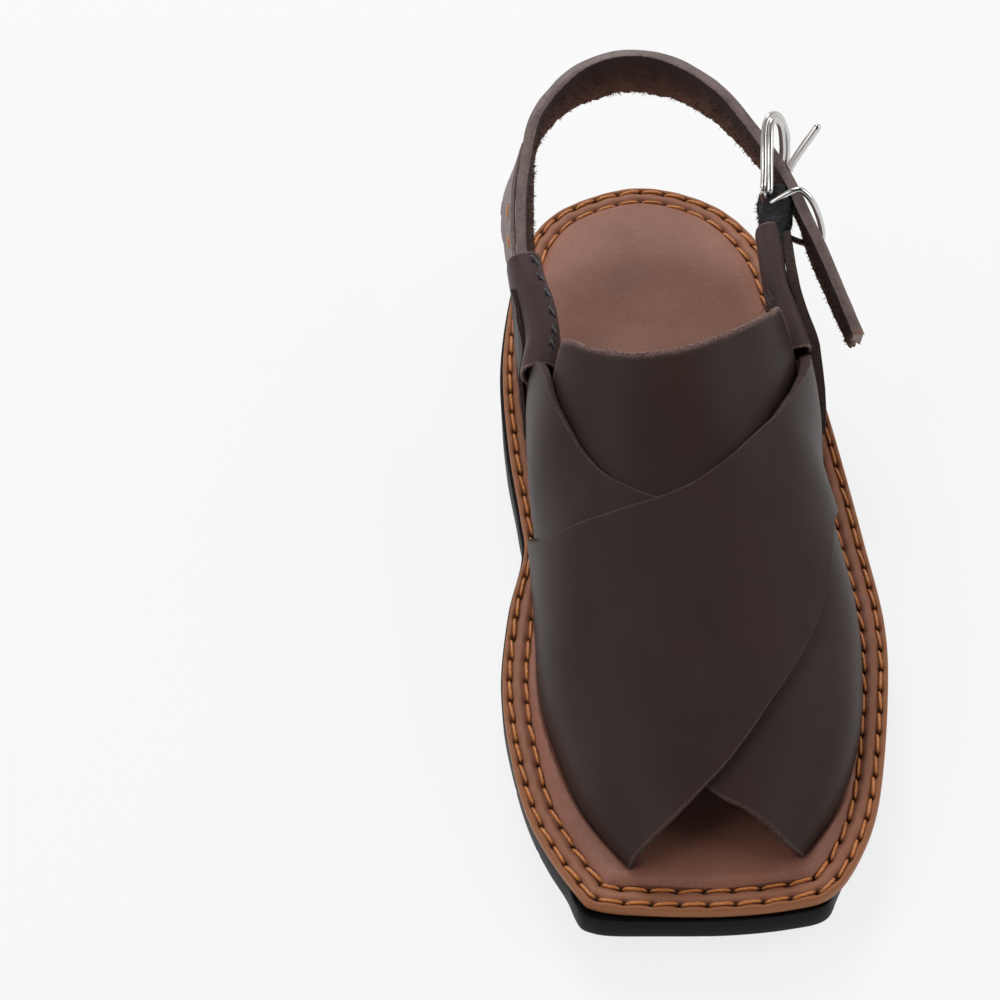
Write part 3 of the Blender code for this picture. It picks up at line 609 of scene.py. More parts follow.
def build_stitches():
    """Both rows as one piece of separate closed stitches."""
    outline = sole_outline(820)
    rows = [stitch_row(outline, row, seed) for row, seed in ((OUTER_ROW, 3), (INNER_ROW, 8))]
    points, twist, dive_shade = (np.concatenate(values) for values in zip(*rows))
    faces = strand_faces(*points.shape[:3])
    add_piece("sole_stitches", points, faces, thread_finish(), (),
              {"twist": twist, "dive_shade": dive_shade}, 80.0)


build_stitches()


# Footbed
# Brown leather drawn over a thin soft pad and sewn down by the inner row of stitches. It rises round
# from that row, and is pressed into a slit where the two panels of the upper go down through it.

PAD_THICKNESS = 0.0018
PAD_EDGE = 0.0076
PAD_SHOULDER = 0.0036
LEATHER = 0.0021
SLIT_DEPTH = 0.0011
SLIT_HALF_WIDTH = 0.0019
SLIT_ROLL = 0.0007
SLIT_START = 0.388
SLIT_END = 0.936
PAD_TUCK = 0.00025
PAD_UNDERSIDE = 0.00042
PANEL_SINK = 0.0009

# Last under the upper: along, foot line on the inner and outer side, ridge, height, fullness
INSTEP_HEIGHT = 0.076
LAST = [
    (0.24, -0.340, 0.360, -0.010, 1.100, 2.20), (0.32, -0.352, 0.370, -0.010, 1.000, 2.20),
    (0.40, -0.360, 0.385, -0.010, 0.895, 2.20), (0.48, -0.348, 0.381, -0.010, 0.763, 2.25),
    (0.56, -0.350, 0.415, -0.008, 0.612, 2.30), (0.64, -0.348, 0.438, 0.000, 0.513, 2.40),
    (0.72, -0.344, 0.434, 0.009, 0.421, 2.40), (0.80, -0.304, 0.402, 0.018, 0.336, 2.40),
    (0.87, -0.246, 0.337, 0.022, 0.257, 2.30), (0.93, -0.158, 0.237, 0.027, 0.171, 2.20),
    (0.99, -0.060, 0.120, 0.027, 0.090, 2.20),
]


def footbed(y):
    """Height of the solid pad's top, which the upper stands on."""
    return bed(y) + GAP + PAD_THICKNESS


def slit_shape(x, y):
    """Pressed-in slit under both panels' feet, and the roll of leather on its outer side."""
    along = (HEEL_REACH - y) / LENGTH
    inner, outer, _, _, _ = read_table(LAST, along)
    shape = np.zeros(x.shape)
    for foot, side, crossing in ((inner, -1.0, 0.51), (outer, 1.0, 0.56)):
        # One layer of leather at each end of the slit, two where the panels cross
        step = 1.0 / (1.0 + np.exp(-(along - crossing) / 0.012))
        outside = step if side < 0.0 else 1.0 - step
        middle = foot * BALL_WIDTH + side * LEATHER * (0.5 + 0.85 * outside)
        away = (x - middle) * side
        there = 1.0 / (1.0 + np.exp(-(along - SLIT_START) / 0.006))
        there = there / (1.0 + np.exp((along - SLIT_END) / 0.004))
        dip = np.exp(-(away / SLIT_HALF_WIDTH) ** 2)
        roll = np.exp(-((away - 0.0031) / 0.0013) ** 2)
        shape += there * (SLIT_ROLL * roll - SLIT_DEPTH * dip)
    return shape


def build_footbed():
    """Rungs across the sole, each a round rise at both ends, with the slits pressed in."""
    half = 330
    outline = sole_outline(half)
    line = inset(outline, PAD_EDGE)[0]
    left = line[:half + 1]
    right = line[(2 * half - np.arange(half + 1)) % (2 * half)]
    across = np.linspace(-1.0, 1.0, 121)
    across = np.sign(across) * (1.0 - (1.0 - np.abs(across)) ** 1.25)
    share = 0.5 + 0.5 * across
    plan = left[:, None] * (1.0 - share)[:, None] + right[:, None] * share[:, None]
    flat = plan.reshape(-1, 2)
    near = np.full(len(flat), 1.0)
    for block in range(0, len(line), 66):
        reach = np.linalg.norm(flat[:, None] - line[None, block:block + 66], axis=2).min(1)
        near = np.minimum(near, reach)
    near = near.reshape(plan.shape[:2])
    rise = np.sin(np.pi / 2.0 * np.clip(near / PAD_SHOULDER, 0.0, 1.0)) ** 0.85
    x, y = plan[..., 0], plan[..., 1]
    top = bed(y) - PAD_TUCK + (PAD_THICKNESS + GAP + PAD_TUCK) * rise
    wave = 0.00012 * np.sin(x * 190.0 + 2.0) * np.sin(y * 140.0) + 0.00010 * np.sin(x * 80.0 - y * 95.0)
    top += (slit_shape(x, y) + wave) * rise
    low = bed(y) - PAD_UNDERSIDE
    upper_points = np.concatenate([plan, top[..., None]], 2)
    lower_points = np.concatenate([plan, low[..., None]], 2)
    points, faces = wall(upper_points, lower_points)
    scuffed = 1.0 / (1.0 + np.exp((-y - 0.065) / 0.02))
    none = np.zeros(y.size * 2)
    marks = {"scuffed": np.tile(scuffed.ravel(), 2), "rim": none, "hole": none}
    pad = add_piece("footbed_pad", points, faces, footbed_finish("footbed_leather_soft"),
                    ["insole"], marks)


def wall(outside, inside):
    """Points and faces of the closed wall between two grids of the same size."""
    rows, columns = outside.shape[:2]
    points = np.vstack([outside.reshape(-1, 3), inside.reshape(-1, 3)])
    back = rows * columns
    front_faces = grid_faces(rows, columns)
    border = np.concatenate([
        np.arange(columns), np.arange(1, rows) * columns + columns - 1,
        (rows - 1) * columns + np.arange(columns - 2, -1, -1), np.arange(rows - 2, 0, -1) * columns])
    after = np.roll(border, -1)
    rim = np.stack([border, border + back, after + back, after], 1)
    return points, np.vstack([front_faces, front_faces[:, ::-1] + back, rim]).tolist()


build_footbed()


# Upper
# Two panels of smooth, oiled dark brown leather about 2 mm thick that cross over the foot. Each is cut
# raw at its edges and goes down into the footbed; the lower one passes under the upper one.

PANEL_BITE = 0.0001
EDGE_ROUND = 0.00035
WAIST_BULGE = 0.0060
LEATHER_BROWN = (0.0285, 0.0182, 0.0160)
LEATHER_WARM = (0.0345, 0.0202, 0.0168)
LEATHER_SHADE = (0.0135, 0.0085, 0.0076)
CUT_EDGE = (0.100, 0.067, 0.059)
CUT_PALE = (0.330, 0.215, 0.190)
TAB_PLUM = (0.061, 0.0400, 0.0410)

# Edges of the panels: share of the way over the foot from the inner side, rear and front edge
OVER_PANEL = [
    (0.00, 0.510, 0.934), (0.10, 0.561, 0.935), (0.20, 0.590, 0.933), (0.30, 0.598, 0.926),
    (0.40, 0.599, 0.913), (0.50, 0.587, 0.887), (0.56, 0.565, 0.855), (0.62, 0.538, 0.809),
    (0.67, 0.516, 0.770), (0.71, 0.498, 0.736), (0.75, 0.474, 0.692), (0.785, 0.452, 0.640),
    (0.82, 0.425, 0.597), (0.86, 0.392, 0.568), (0.91, 0.355, 0.543), (1.00, 0.338, 0.508),
]
UNDER_PANEL = [
    (0.00, 0.358, 0.585), (0.08, 0.352, 0.610), (0.14, 0.374, 0.640), (0.19, 0.402, 0.675),
    (0.22, 0.428, 0.695), (0.245, 0.457, 0.710), (0.27, 0.483, 0.727), (0.305, 0.520, 0.752),
    (0.34, 0.545, 0.780), (0.40, 0.571, 0.828), (0.50, 0.597, 0.894), (0.60, 0.605, 0.914),
    (0.70, 0.595, 0.928), (0.80, 0.562, 0.937), (0.90, 0.505, 0.939), (1.00, 0.465, 0.934),
]


def last_point(around, along, lift):
    """Point of the last, lifted off it along its normal.

    A section is half a superellipse from the inner foot line over the ridge to the outer one.
    """
    def surface(around, along):
        inner, outer, ridge, height, fullness = read_table(LAST, along)
        angle = np.pi * np.clip(around, 0.0, 1.0)
        power = 2.0 / fullness
        cosine, sine = np.cos(angle), np.sin(angle)
        reach = np.where(cosine > 0.0, ridge - inner, outer - ridge) * BALL_WIDTH
        x = ridge * BALL_WIDTH - np.sign(cosine) * np.abs(cosine) ** power * reach
        waist = np.exp(-((along - 0.475) / 0.07) ** 2) * np.maximum(cosine, 0.0)
        x -= WAIST_BULGE * waist * sine ** 0.6
        y = along_to_y(along)
        z = footbed(y) + GAP + height * INSTEP_HEIGHT * np.abs(sine) ** power
        return np.stack([x, y, z], -1)

    around, along = np.broadcast_arrays(np.asarray(around, float), np.asarray(along, float))
    step = 0.004
    inside = np.clip(around, step, 1.0 - step)
    sideways = surface(inside + step, along) - surface(inside - step, along)
    forward = surface(inside, along + step) - surface(inside, along - step)
    normal = np.cross(forward, sideways)
    normal /= np.linalg.norm(normal, axis=-1)[..., None]
    point = surface(around, along) + normal * np.asarray(lift)[..., None]
    ground = footbed(point[..., 1]) + GAP
    point[..., 2] = np.maximum(point[..., 2], ground)
    low = np.clip(1.0 - (point[..., 2] - ground) / 0.003, 0.0, 1.0)
    point[..., 2] -= PANEL_SINK * low ** 2
    return point


def border_nearness(grid):
    """Length over the surface from each point of a grid to the nearest of its four borders."""
    near = np.full(grid.shape[:2], 1.0)
    for axis in (0, 1):
        steps = np.linalg.norm(np.diff(grid, axis=axis), axis=2)
        start = np.zeros([1, grid.shape[1]] if axis == 0 else [grid.shape[0], 1])
        length = np.concatenate([start, np.cumsum(steps, axis=axis)], axis=axis)
        total = np.take(length, [-1], axis=axis)
        near = np.minimum(near, np.minimum(length, total - length))
    return near


def upper_finish(name="dark_oiled_leather", tone=LEATHER_BROWN, warm=LEATHER_WARM, edge=CUT_EDGE):
    """Dark oiled leather: faint clouds, fine pores, long soft rubs, paler at raw edges."""
    finish = Finish(name)
    cloud = finish.noise(0.045, 3.0, 0.5)
    rub = finish.noise(0.012, 4.0, 0.6, (1.0, 0.35, 1.0), (0.0, 0.0, 0.6))
    fleck = finish.noise(0.0008, 3.0, 0.6)
    pore = finish.cells(0.0007)
    colour = finish.mix(cloud.fade(0.30, 0.70), tone, warm)
    colour = finish.mix(rub.fade(0.52, 0.80) * 0.35, colour, LEATHER_SHADE)
    colour = finish.mix(fleck.fade(0.60, 0.85) * 0.22, colour, (0.050, 0.037, 0.034))
    raw = finish.mark("raw")
    grit = finish.noise(0.0006, 3.0, 0.7)
    cut = finish.mix(grit.fade(0.30, 0.58), LEATHER_SHADE, edge)
    colour = finish.mix(raw, colour, cut)
    normal = finish.bump(pore, 0.00004, 0.30)
    normal = finish.bump(fleck, 0.00006, 0.25, normal)
    normal = finish.bump(grit * raw, 0.00035, 0.7, normal)
    rough = rub * 0.10 + raw * 0.25 + 0.42
    return finish.surface(Base_Color=colour, Roughness=rough, Normal=normal, Specular_IOR_Level=0.13)


def rough_line(place, seed, size):
    """Sum of short sines for the small unevenness of a knife's cut."""
    chance = np.random.default_rng(seed)
    waves = chance.uniform(40.0, 170.0, 6)
    phase = chance.uniform(0.0, 6.28, 6)
    return size * np.sin(place[..., None] * waves + phase).sum(-1)


def panel_grid(table, lift, columns, rows, seed, ragged):
    """Grid on the last between a panel's rear and front edges, both cut a little unevenly."""
    ends = np.asarray(table)[[0, -1], 0]
    share = 0.5 - 0.5 * np.cos(np.linspace(0.0, np.pi, columns))
    around = ends[0] + (ends[1] - ends[0]) * (0.35 * share + 0.65 * np.linspace(0.0, 1.0, columns))
    rear, front = read_table(table, around)
    rear = rear + rough_line(around, seed, ragged)
    front = front + rough_line(around, seed + 1, ragged * 0.5)
    part = np.linspace(0.0, 1.0, rows)
    part = part - 0.09 * np.sin(2.0 * np.pi * part) / (2.0 * np.pi)
    along = rear * (1.0 - part[:, None]) + front * part[:, None]
    around = np.broadcast_to(around, along.shape)
    swell = 0.00022 * np.sin(around * 9.0 + along * 21.0 + seed) * np.sin(along * 26.0 - around * 4.0)
    swell = swell * np.clip(around * (1.0 - around) * 14.0, 0.0, 1.0)
    return last_point(around, along, lift + swell)


def build_panel(name, table, low, seed, ragged, replaced, size=(131, 101), thickness=LEATHER,
                border=0.0007, flare=0.0, edge=CUT_EDGE):
    """Closed leather wall between its inner face on the last and its grain face.

    border is the width of the paler line along its cut edges, and flare how much thicker it grows
    at the rear end of its outer side.
    """
    columns, rows = size
    outside = panel_grid(table, low + thickness, columns, rows, seed, ragged)
    across, back = np.meshgrid(np.linspace(0.0, 1.0, columns), np.linspace(0.0, 1.0, rows))
    end = np.clip((across - 0.72) / 0.16, 0.0, 1.0) * np.clip(1.0 - back / 0.22, 0.0, 1.0)
    inside = panel_grid(table, low - flare * end, columns, rows, seed, ragged)
    points, faces = wall(outside, inside)
    near = border_nearness(outside)
    raw = np.clip(1.0 - near / border, 0.0, 1.0)
    rough_side = np.full(raw.size, 0.35)
    leather = upper_finish("dark_oiled_leather", LEATHER_BROWN, LEATHER_WARM, edge)
    piece = add_piece(name, points, faces, leather, replaced,
                      {"raw": np.concatenate([raw.ravel() * 0.85, rough_side])}, 50.0)
    round_off(piece, EDGE_ROUND)
    return piece


def round_off(piece, width, segments=2):
    """Worn round edge along every sharp border."""
    bevel = piece.modifiers.new("Round", "BEVEL")
    bevel.width = width
    bevel.segments = segments
    bevel.limit_method = "ANGLE"
    bevel.angle_limit = math.radians(60.0)
    bevel.use_clamp_overlap = True
    bevel.harden_normals = False


build_panel("upper_panel_over", OVER_PANEL, LEATHER + PANEL_BITE, 5, 0.00012, ["upper"], flare=0.0016)
build_panel("upper_panel_under", UNDER_PANEL, 0.0, 11, 0.00012, ["upper"])


# Tongue
# A separate piece of the same leather under both panels. Only its upper part shows, with a hollow
# top edge whose thickness catches the light.

TONGUE_LEATHER = 0.0019
TONGUE_GAP = 0.0006
TONGUE = [
    (0.12, 0.475, 0.600), (0.20, 0.430, 0.600), (0.228, 0.407, 0.605), (0.245, 0.396, 0.610),
    (0.265, 0.402, 0.620), (0.34, 0.430, 0.670), (0.48, 0.453, 0.680), (0.62, 0.431, 0.670),
    (0.72, 0.395, 0.640), (0.78, 0.367, 0.610), (0.82, 0.347, 0.590), (0.835, 0.349, 0.580),
    (0.88, 0.366, 0.560), (0.95, 0.388, 0.540),
]
build_panel("tongue_leather", TONGUE, -TONGUE_GAP - TONGUE_LEATHER, 21, 0.00010, ["tongue"],
            (141, 71), TONGUE_LEATHER, 0.0021, 0.0, CUT_PALE)


# Loose threads
# A tuft of dark thread ends that sticks up behind the tongue's outer corner.

TUFT_PLACE = (0.765, 0.366)
TUFT_THREADS = 12
TUFT_REACH = 0.0032
TUFT_GIRTH = 0.00022
TUFT_LEAN = (-0.3, 0.5, 0.2)


def thread_rows(roots, ways, reach, girth, rows=7, around=6, seed=2):
    """Points of short threads that curl as they leave their roots, and narrow to their ends."""
    chance = np.random.default_rng(seed)
    count = len(roots)
    share = np.linspace(0.0, 1.0, rows)[None, :, None]
    curl = chance.normal(0.0, 0.5, (count, 1, 3)) * share ** 2 + np.array([0.0, 0.0, -0.35]) * share ** 3
    line = roots[:, None] + (ways[:, None] * share + curl) * reach
    angle = circle(around)
    ring = np.stack([np.cos(angle), np.sin(angle), 0.5 * np.sin(angle)], 1)
    return line[:, :, None] + ring * (girth * (1.0 - 0.75 * share ** 2))[..., None]


def build_tuft():
    """Twelve dark threads that leave one place in all directions."""
    chance = np.random.default_rng(4)
    place = last_point(*TUFT_PLACE, 0.0004)
    roots = place + chance.normal(0.0, 0.0007, (TUFT_THREADS, 3))
    ways = chance.normal(0.0, 0.5, (TUFT_THREADS, 3)) + TUFT_LEAN
    points = thread_rows(roots, ways, TUFT_REACH, TUFT_GIRTH)
    faces = strand_faces(*points.shape[:3])
    finish = Finish("black_thread_ends")
    vary = finish.noise(0.0006, 2.0, 0.6)
    colour = finish.mix(vary, (0.010, 0.008, 0.008), (0.055, 0.035, 0.024))
    add_piece("thread_tuft", points, faces, finish.surface(Base_Color=colour, Roughness=0.7),
              (), None, 80.0)


build_tuft()


# Side tabs
# Each is a strip of the upper's leather rolled into a round tube, the inner one about the strap's fold
# and the outer one about the black loop. The strip's tail stands outside as a leaf and goes down into
# the footbed. Slanting dark stitches close the inner tube along its foot side.

STRAP_HALF_SPAN = 0.041
STRAP_HEIGHT = 0.0825
TUBE_WALL = 0.0015
TUBE_SQUARENESS = 2.7
LEAF_STAND = 0.0001

# Tubes from the front to the rear: across share of STRAP_HALF_SPAN, along, height share of
# STRAP_HEIGHT; half width, half height and how far the two sides differ in reach, in millimetres
MEDIAL_TUBE = [
    (-0.920, 0.3660, 0.617, 5.3, 8.0, 1.6), (-0.874, 0.3370, 0.653, 5.3, 8.8, 0.4),
    (-0.899, 0.3054, 0.693, 5.6, 9.0, 0.0), (-0.956, 0.2740, 0.731, 5.6, 8.8, 0.0),
    (-0.988, 0.2450, 0.763, 5.4, 8.4, 0.0),
]
LATERAL_TUBE = [
    (0.975, 0.3510, 0.598, 5.2, 8.0, 0.0), (0.920, 0.3130, 0.666, 4.0, 8.2, 0.0),
    (0.880, 0.2880, 0.706, 3.6, 8.2, 0.0), (0.862, 0.2580, 0.748, 3.9, 8.0, 0.0),
    (0.855, 0.2240, 0.792, 4.1, 7.6, 0.0),
]

# Stitches of the inner tube: share of its length, angle from its outer side over the top
TUBE_STITCHES = [(0.93, 2.05), (0.755, 2.12), (0.60, 2.16), (0.44, 2.18), (0.285, 2.20), (0.17, 2.24)]

# Leaves' feet: across share of BALL_WIDTH and along, at the front and the rear
MEDIAL_FOOT = [(-0.372, 0.374), (-0.384, 0.290)]
LATERAL_FOOT = [(0.412, 0.390), (0.380, 0.290)]

# Rows up a leaf: share of the way from its foot to the tube, bulge in millimetres
LEAF_ROWS = [(0.0, 0.0), (0.12, 0.8), (0.3, 1.5), (0.5, 1.6), (0.7, 1.1), (0.86, 0.5), (1.0, 0.0)]


def line_points(rows):
    """Table of a band's middle line as places in metres."""
    rows = np.asarray(rows, float)
    return np.column_stack([rows[:, 0] * STRAP_HALF_SPAN, along_to_y(rows[:, 1]),
                            rows[:, 2] * STRAP_HEIGHT])


def line_values(rows, share):
    """Values in the columns after a table's places, at shares of its middle line's length."""
    rows = np.asarray(rows, float)
    keys = travelled(line_points(rows[:, :3]))
    return read_table(np.column_stack([keys / keys[-1], rows[:, 3:]]), share)


def rounded(value, power):
    """Sine or cosine of a superellipse: its size to a power, with its own sign."""
    return np.sign(value) * np.abs(value) ** power


def band_frames(points, lean):
    """Directions along, out of and across a band whose upper edge leans out by an angle."""
    along = unit(np.gradient(points, axis=0))
    upright = np.array([0.0, 0.0, 1.0])
    across = unit(upright - (along @ upright)[:, None] * along)
    out = np.cross(across, along)
    sine = np.reshape(np.sin(lean), (-1, 1))
    cosine = np.reshape(np.cos(lean), (-1, 1))
    return along, out * cosine - across * sine, across * cosine + out * sine


def torus_faces(rows, columns):
    """Quads of a grid of points that is joined end to end both ways."""
    index = np.arange(rows * columns).reshape(rows, columns)
    after = np.roll(index, -1, 1)
    return np.stack([index, after, np.roll(after, -1, 0), np.roll(index, -1, 0)], -1).reshape(-1, 4)


class Tube:
    """Rolled tube of leather: middle line from front to rear, its directions and its half sizes."""

    def __init__(self, table, flip, stations=61):
        table = np.asarray(table, float)
        self.middle = smooth_through(line_points(table[:, :3]), stations)
        self.along, out, self.across = band_frames(self.middle, 0.04)
        self.out = out * flip
        self.share = np.linspace(0.0, 1.0, stations)
        self.width, self.height, self.slant = line_values(table, self.share) / 1000.0

    def at(self, share, angle, lift=0.0, ahead=0.0):
        """Point at a share of the length and an angle from the outer side over the top.

        A section is a superellipse; lift is its distance off the leather's outer face and ahead
        a shift along the tube.
        """
        share, angle, lift, ahead = np.broadcast_arrays(share, angle, lift, ahead)

        def read(values):
            return np.stack([np.interp(share, self.share, column) for column in values.T], -1)

        width, height, slant = (np.interp(share, self.share, size)
                                for size in (self.width, self.height, self.slant))
        cosine, sine = np.cos(angle), np.sin(angle)
        power = 2.0 / TUBE_SQUARENESS
        side = rounded(cosine, power) * (width + lift)
        level = rounded(sine, power) * (height + lift)
        ahead = ahead - slant * cosine * (1.0 - share) ** 2
        return (read(self.middle) + read(self.out) * side[..., None]
                + read(self.across) * level[..., None] + read(self.along) * ahead[..., None])


def build_tube(name, tube, replaced, dents=(), around=72):
    """Tube with a wall and round lips, pressed in under its stitches.

    Rows run over the outer face to the rear lip, back through the inside and out over the front
    lip. A lip is half a circle of the wall's thickness.
    """
    half = TUBE_WALL / 2.0
    shares = np.linspace(0.0, 1.0, 61)
    turn = np.linspace(0.0, np.pi, 7)[1:-1]
    lip_in = half * (1.0 - np.cos(turn))
    lip_out = half * np.sin(turn)
    share = np.concatenate([shares, np.ones(5), shares[::-1], np.zeros(5)])
    depth = np.concatenate([np.zeros(61), lip_in, np.full(61, TUBE_WALL), lip_in[::-1]])
    ahead = np.concatenate([np.zeros(61), lip_out, np.zeros(61), -lip_out])
    angle = circle(around)
    length = travelled(tube.middle)[-1]
    wave = 0.00016 * np.sin(share[:, None] * 7.0 + angle * 2.0) * np.sin(share[:, None] * 4.0 - angle)
    dent = np.zeros(wave.shape)
    for place, turned in dents:
        ahead_by = (share[:, None] - place) * length
        around_by = (angle - turned) * 0.0062
        straight = ahead_by * 0.80 - around_by * 0.60
        slanting = ahead_by * 0.60 + around_by * 0.80
        dent = np.maximum(dent, np.exp(-(slanting / 0.0019) ** 4 - (straight / 0.00065) ** 2))
    outer = (depth < TUBE_WALL * 0.5)[:, None]
    lift = -depth[:, None] + wave - 0.00045 * dent * outer
    points = tube.at(share[:, None], angle[None], lift, ahead[:, None])
    lip = np.clip(1.0 - np.abs(depth / half - 0.20) / 0.7, 0.0, 1.0) * (np.abs(ahead) > 0.0)
    marks = {"raw": np.repeat(lip * 0.9, around), "pressed": dent * outer}
    leather = upper_finish(name + "_leather", TAB_PLUM, (0.066, 0.042, 0.041), CUT_PALE)
    add_piece(name, points, torus_faces(len(share), around).tolist(), leather,
              replaced, marks, 60.0)


def build_leaf(name, tube, foot, reach, height, bulge, thick):
    """Leaf between its foot line and the tube's outer side, from the front to a share of the tube."""
    columns = 41
    part = np.linspace(0.0, 1.0, columns)
    front, rear = np.array(foot)
    place = front * (1.0 - part[:, None]) + rear * part[:, None]
    x, y = place[:, 0] * BALL_WIDTH, along_to_y(place[:, 1])
    ground = np.column_stack([x, y, footbed(y) - PANEL_SINK])
    top = tube.at(part * (reach[1] - reach[0]) + reach[0], np.interp(part, [0.0, 1.0], height), LEAF_STAND)
    side = np.sign(x.mean()) * np.array([1.0, 0.0, 0.0])
    climb = np.linspace(0.0, 1.0, 31)
    swell = np.interp(climb, *np.array(LEAF_ROWS).T) / 1000.0 * bulge
    inside = (ground * (1.0 - climb[:, None, None]) + top * climb[:, None, None]
              + side * swell[:, None, None])
    wave = 0.00025 * np.sin(part * 9.0 + x.mean() * 60.0) * climb[:, None]
    inside[..., 2] += wave
    outside = inside + side * thick + side * 0.0002 * np.sin(part * 13.0)[None, :, None]
    points, faces = wall(outside, inside)
    near = border_nearness(outside)
    raw = np.clip(1.0 - near / 0.0004, 0.0, 1.0).ravel() * 0.5
    piece = add_piece(name, points, faces, upper_finish(name + "_leather"), (),
                      {"raw": np.concatenate([raw, raw])}, 50.0)
    round_off(piece, 0.0005)


def round_about(first, second, angle):
    """Directions at some angles between two directions at right angles."""
    return (first[:, None] * np.cos(angle)[None, :, None]
            + second[:, None] * np.sin(angle)[None, :, None])


def bead_points(centres, ways, reach, girth, rows=9, around=8):
    """Closed thread beads: centre, half length along a way, and girth that narrows to both ends."""
    centres = np.asarray(centres, float)
    ways = unit(ways)
    first = unit(np.cross(ways, [0.21, 0.13, 0.97]))
    place = np.linspace(-1.0, 1.0, rows)
    slim = girth * (1.0 - np.abs(place) ** 3.0 * 0.82)
    angle = circle(around)
    ring = round_about(first, np.cross(ways, first), angle)
    points = (centres[:, None, None] + ways[:, None, None] * (place * reach)[None, :, None, None]
              + ring[:, None] * slim[None, :, None, None])
    return points, strand_faces(len(centres), rows, around)


def dark_thread_finish():
    """Black waxed thread with a hard gloss."""
    finish = Finish("black_waxed_thread")
    fray = finish.noise(0.0005, 3.0, 0.6)
    colour = finish.mix(fray, (0.008, 0.009, 0.013), (0.030, 0.034, 0.046))
    normal = finish.bump(fray, 0.0001, 0.5)
    return finish.surface(Base_Color=colour, Roughness=0.26, Normal=normal, Specular_IOR_Level=0.6,
                          Coat_Weight=0.3, Coat_Roughness=0.2)


def build_tabs():
    """Both tubes with their leaves, and the slanting stitches of the inner one."""
    medial = Tube(MEDIAL_TUBE, 1.0)
    lateral = Tube(LATERAL_TUBE, -1.0)
    places, turned = np.array(TUBE_STITCHES).T
    build_tube("tab_tube_medial", medial, ["side_tab_medial"], list(zip(places, turned)))
    build_tube("tab_tube_lateral", lateral, ["side_tab_lateral"])
    build_leaf("tab_leaf_medial", medial, MEDIAL_FOOT, (0.0, 0.74), (-0.30, 0.60), 0.0, 0.0014)
    build_leaf("tab_leaf_lateral", lateral, LATERAL_FOOT, (0.02, 0.95), (0.0, 0.80), 0.5, 0.0031)
    centre = medial.at(places, turned, -0.00018)
    ahead = medial.at(places - 0.035, turned + 0.16, -0.00018)
    points, faces = bead_points(centre, ahead - centre, 0.0021, 0.00058)
    add_piece("tab_stitches", points, faces, dark_thread_finish(), (), None, 80.0)


build_tabs()


# Heel strap
# A long strap of thick leather, smooth and dark outside and suede inside. Its inner end is folded out
# through the inner tab and sewn back on itself; its lower edge is raw and hairy, its tail hangs free.

STRAP_WIDTH = 0.0150
STRAP_THICKNESS = 0.0032
RETURN_LENGTH = 0.072
RETURN_GAP = -0.0002
SUEDE_DARK = (0.030, 0.0135, 0.0095)
SUEDE_RED = (0.150, 0.064, 0.042)
STRAP_GREY = (0.170, 0.119, 0.112)
STRAP_HAIRS = 1500
STRAP_HAIR_LENGTH = 0.0013
BARE_STATIONS = 30
RETURN_STITCHES = (0.30, 0.44, 0.58, 0.72)

# Middle line from the fold round the heel to the tail: across, along, height; lean in radians
STRAP_LINE = [
    (-0.878, 0.354, 0.624, 0.09), (-0.875, 0.312, 0.685, 0.12), (-0.958, 0.258, 0.752, 0.18),
    (-0.964, 0.203, 0.813, 0.16), (-0.938, 0.151, 0.869, 0.07), (-0.863, 0.091, 0.937, -0.11),
    (-0.647, 0.047, 0.975, -0.12), (-0.376, 0.023, 0.995, 0.04), (-0.072, 0.016, 1.001, 0.08),
    (0.256, 0.028, 0.985, 0.00), (0.569, 0.064, 0.954, -0.08), (0.800, 0.111, 0.905, -0.15),
    (0.990, 0.161, 0.866, -0.19), (1.100, 0.196, 0.826, -0.24), (1.187, 0.235, 0.767, -0.13),
    (1.308, 0.280, 0.676, -0.12), (1.443, 0.329, 0.579, -0.16),
]

# Return layer from the fold to its free end: share, how far its lower edge stands out in
# millimetres, share of the strap's thickness
RETURN_SHAPE = [
    (0.00, 0.0, 0.50), (0.26, 0.5, 0.45), (0.42, 3.2, 0.50), (0.58, 5.2, 0.50),
    (0.74, 6.2, 0.45), (0.88, 5.0, 0.38), (0.96, 2.6, 0.25), (1.00, 0.4, 0.12),
]


def strap_finish():
    """Smooth grain with a ragged dark border, then suede that reddens towards its hairy edge."""
    finish = Finish("strap_leather")
    grit = finish.noise(0.0011, 4.0, 0.65)
    blot = finish.noise(0.0042, 3.0, 0.6)
    fibre = finish.noise(0.0007, 4.0, 0.75)
    border = finish.mark("suede") + grit * 0.7 - 0.35
    suede = border.fade(0.40, 0.58)
    line = suede * (1.0 - suede) * 3.2
    red = (finish.mark("low") * 0.85 + blot * 0.55 - 0.30).fade(0.15, 0.95)
    flesh = finish.mix(red, SUEDE_DARK, SUEDE_RED)
    flesh = finish.mix(fibre.fade(0.45, 0.78) * 0.40, flesh, (0.013, 0.006, 0.004))
    speck = finish.noise(0.00045, 3.0, 0.7)
    grain = finish.mix(blot.fade(0.35, 0.75) * 0.40, STRAP_GREY, LEATHER_BROWN)
    grain = finish.mix(grit.fade(0.50, 0.70) * 0.55, grain, LEATHER_SHADE)
    grain = finish.mix(speck.fade(0.52, 0.70) * 0.55, grain, (0.020, 0.013, 0.012))
    colour = finish.mix(suede, grain, flesh)
    colour = finish.mix(line, colour, (0.010, 0.006, 0.005))
    colour = finish.mix(finish.mark("raw_end"), colour, (0.200, 0.110, 0.080))
    normal = finish.bump(speck + grit, 0.00014, 0.6)
    normal = finish.bump(fibre * suede, 0.0006, 0.8, normal)
    rough = suede * 0.40 + grit * 0.10 + 0.42
    return finish.surface(Base_Color=colour, Roughness=rough, Normal=normal, Specular_IOR_Level=0.46)


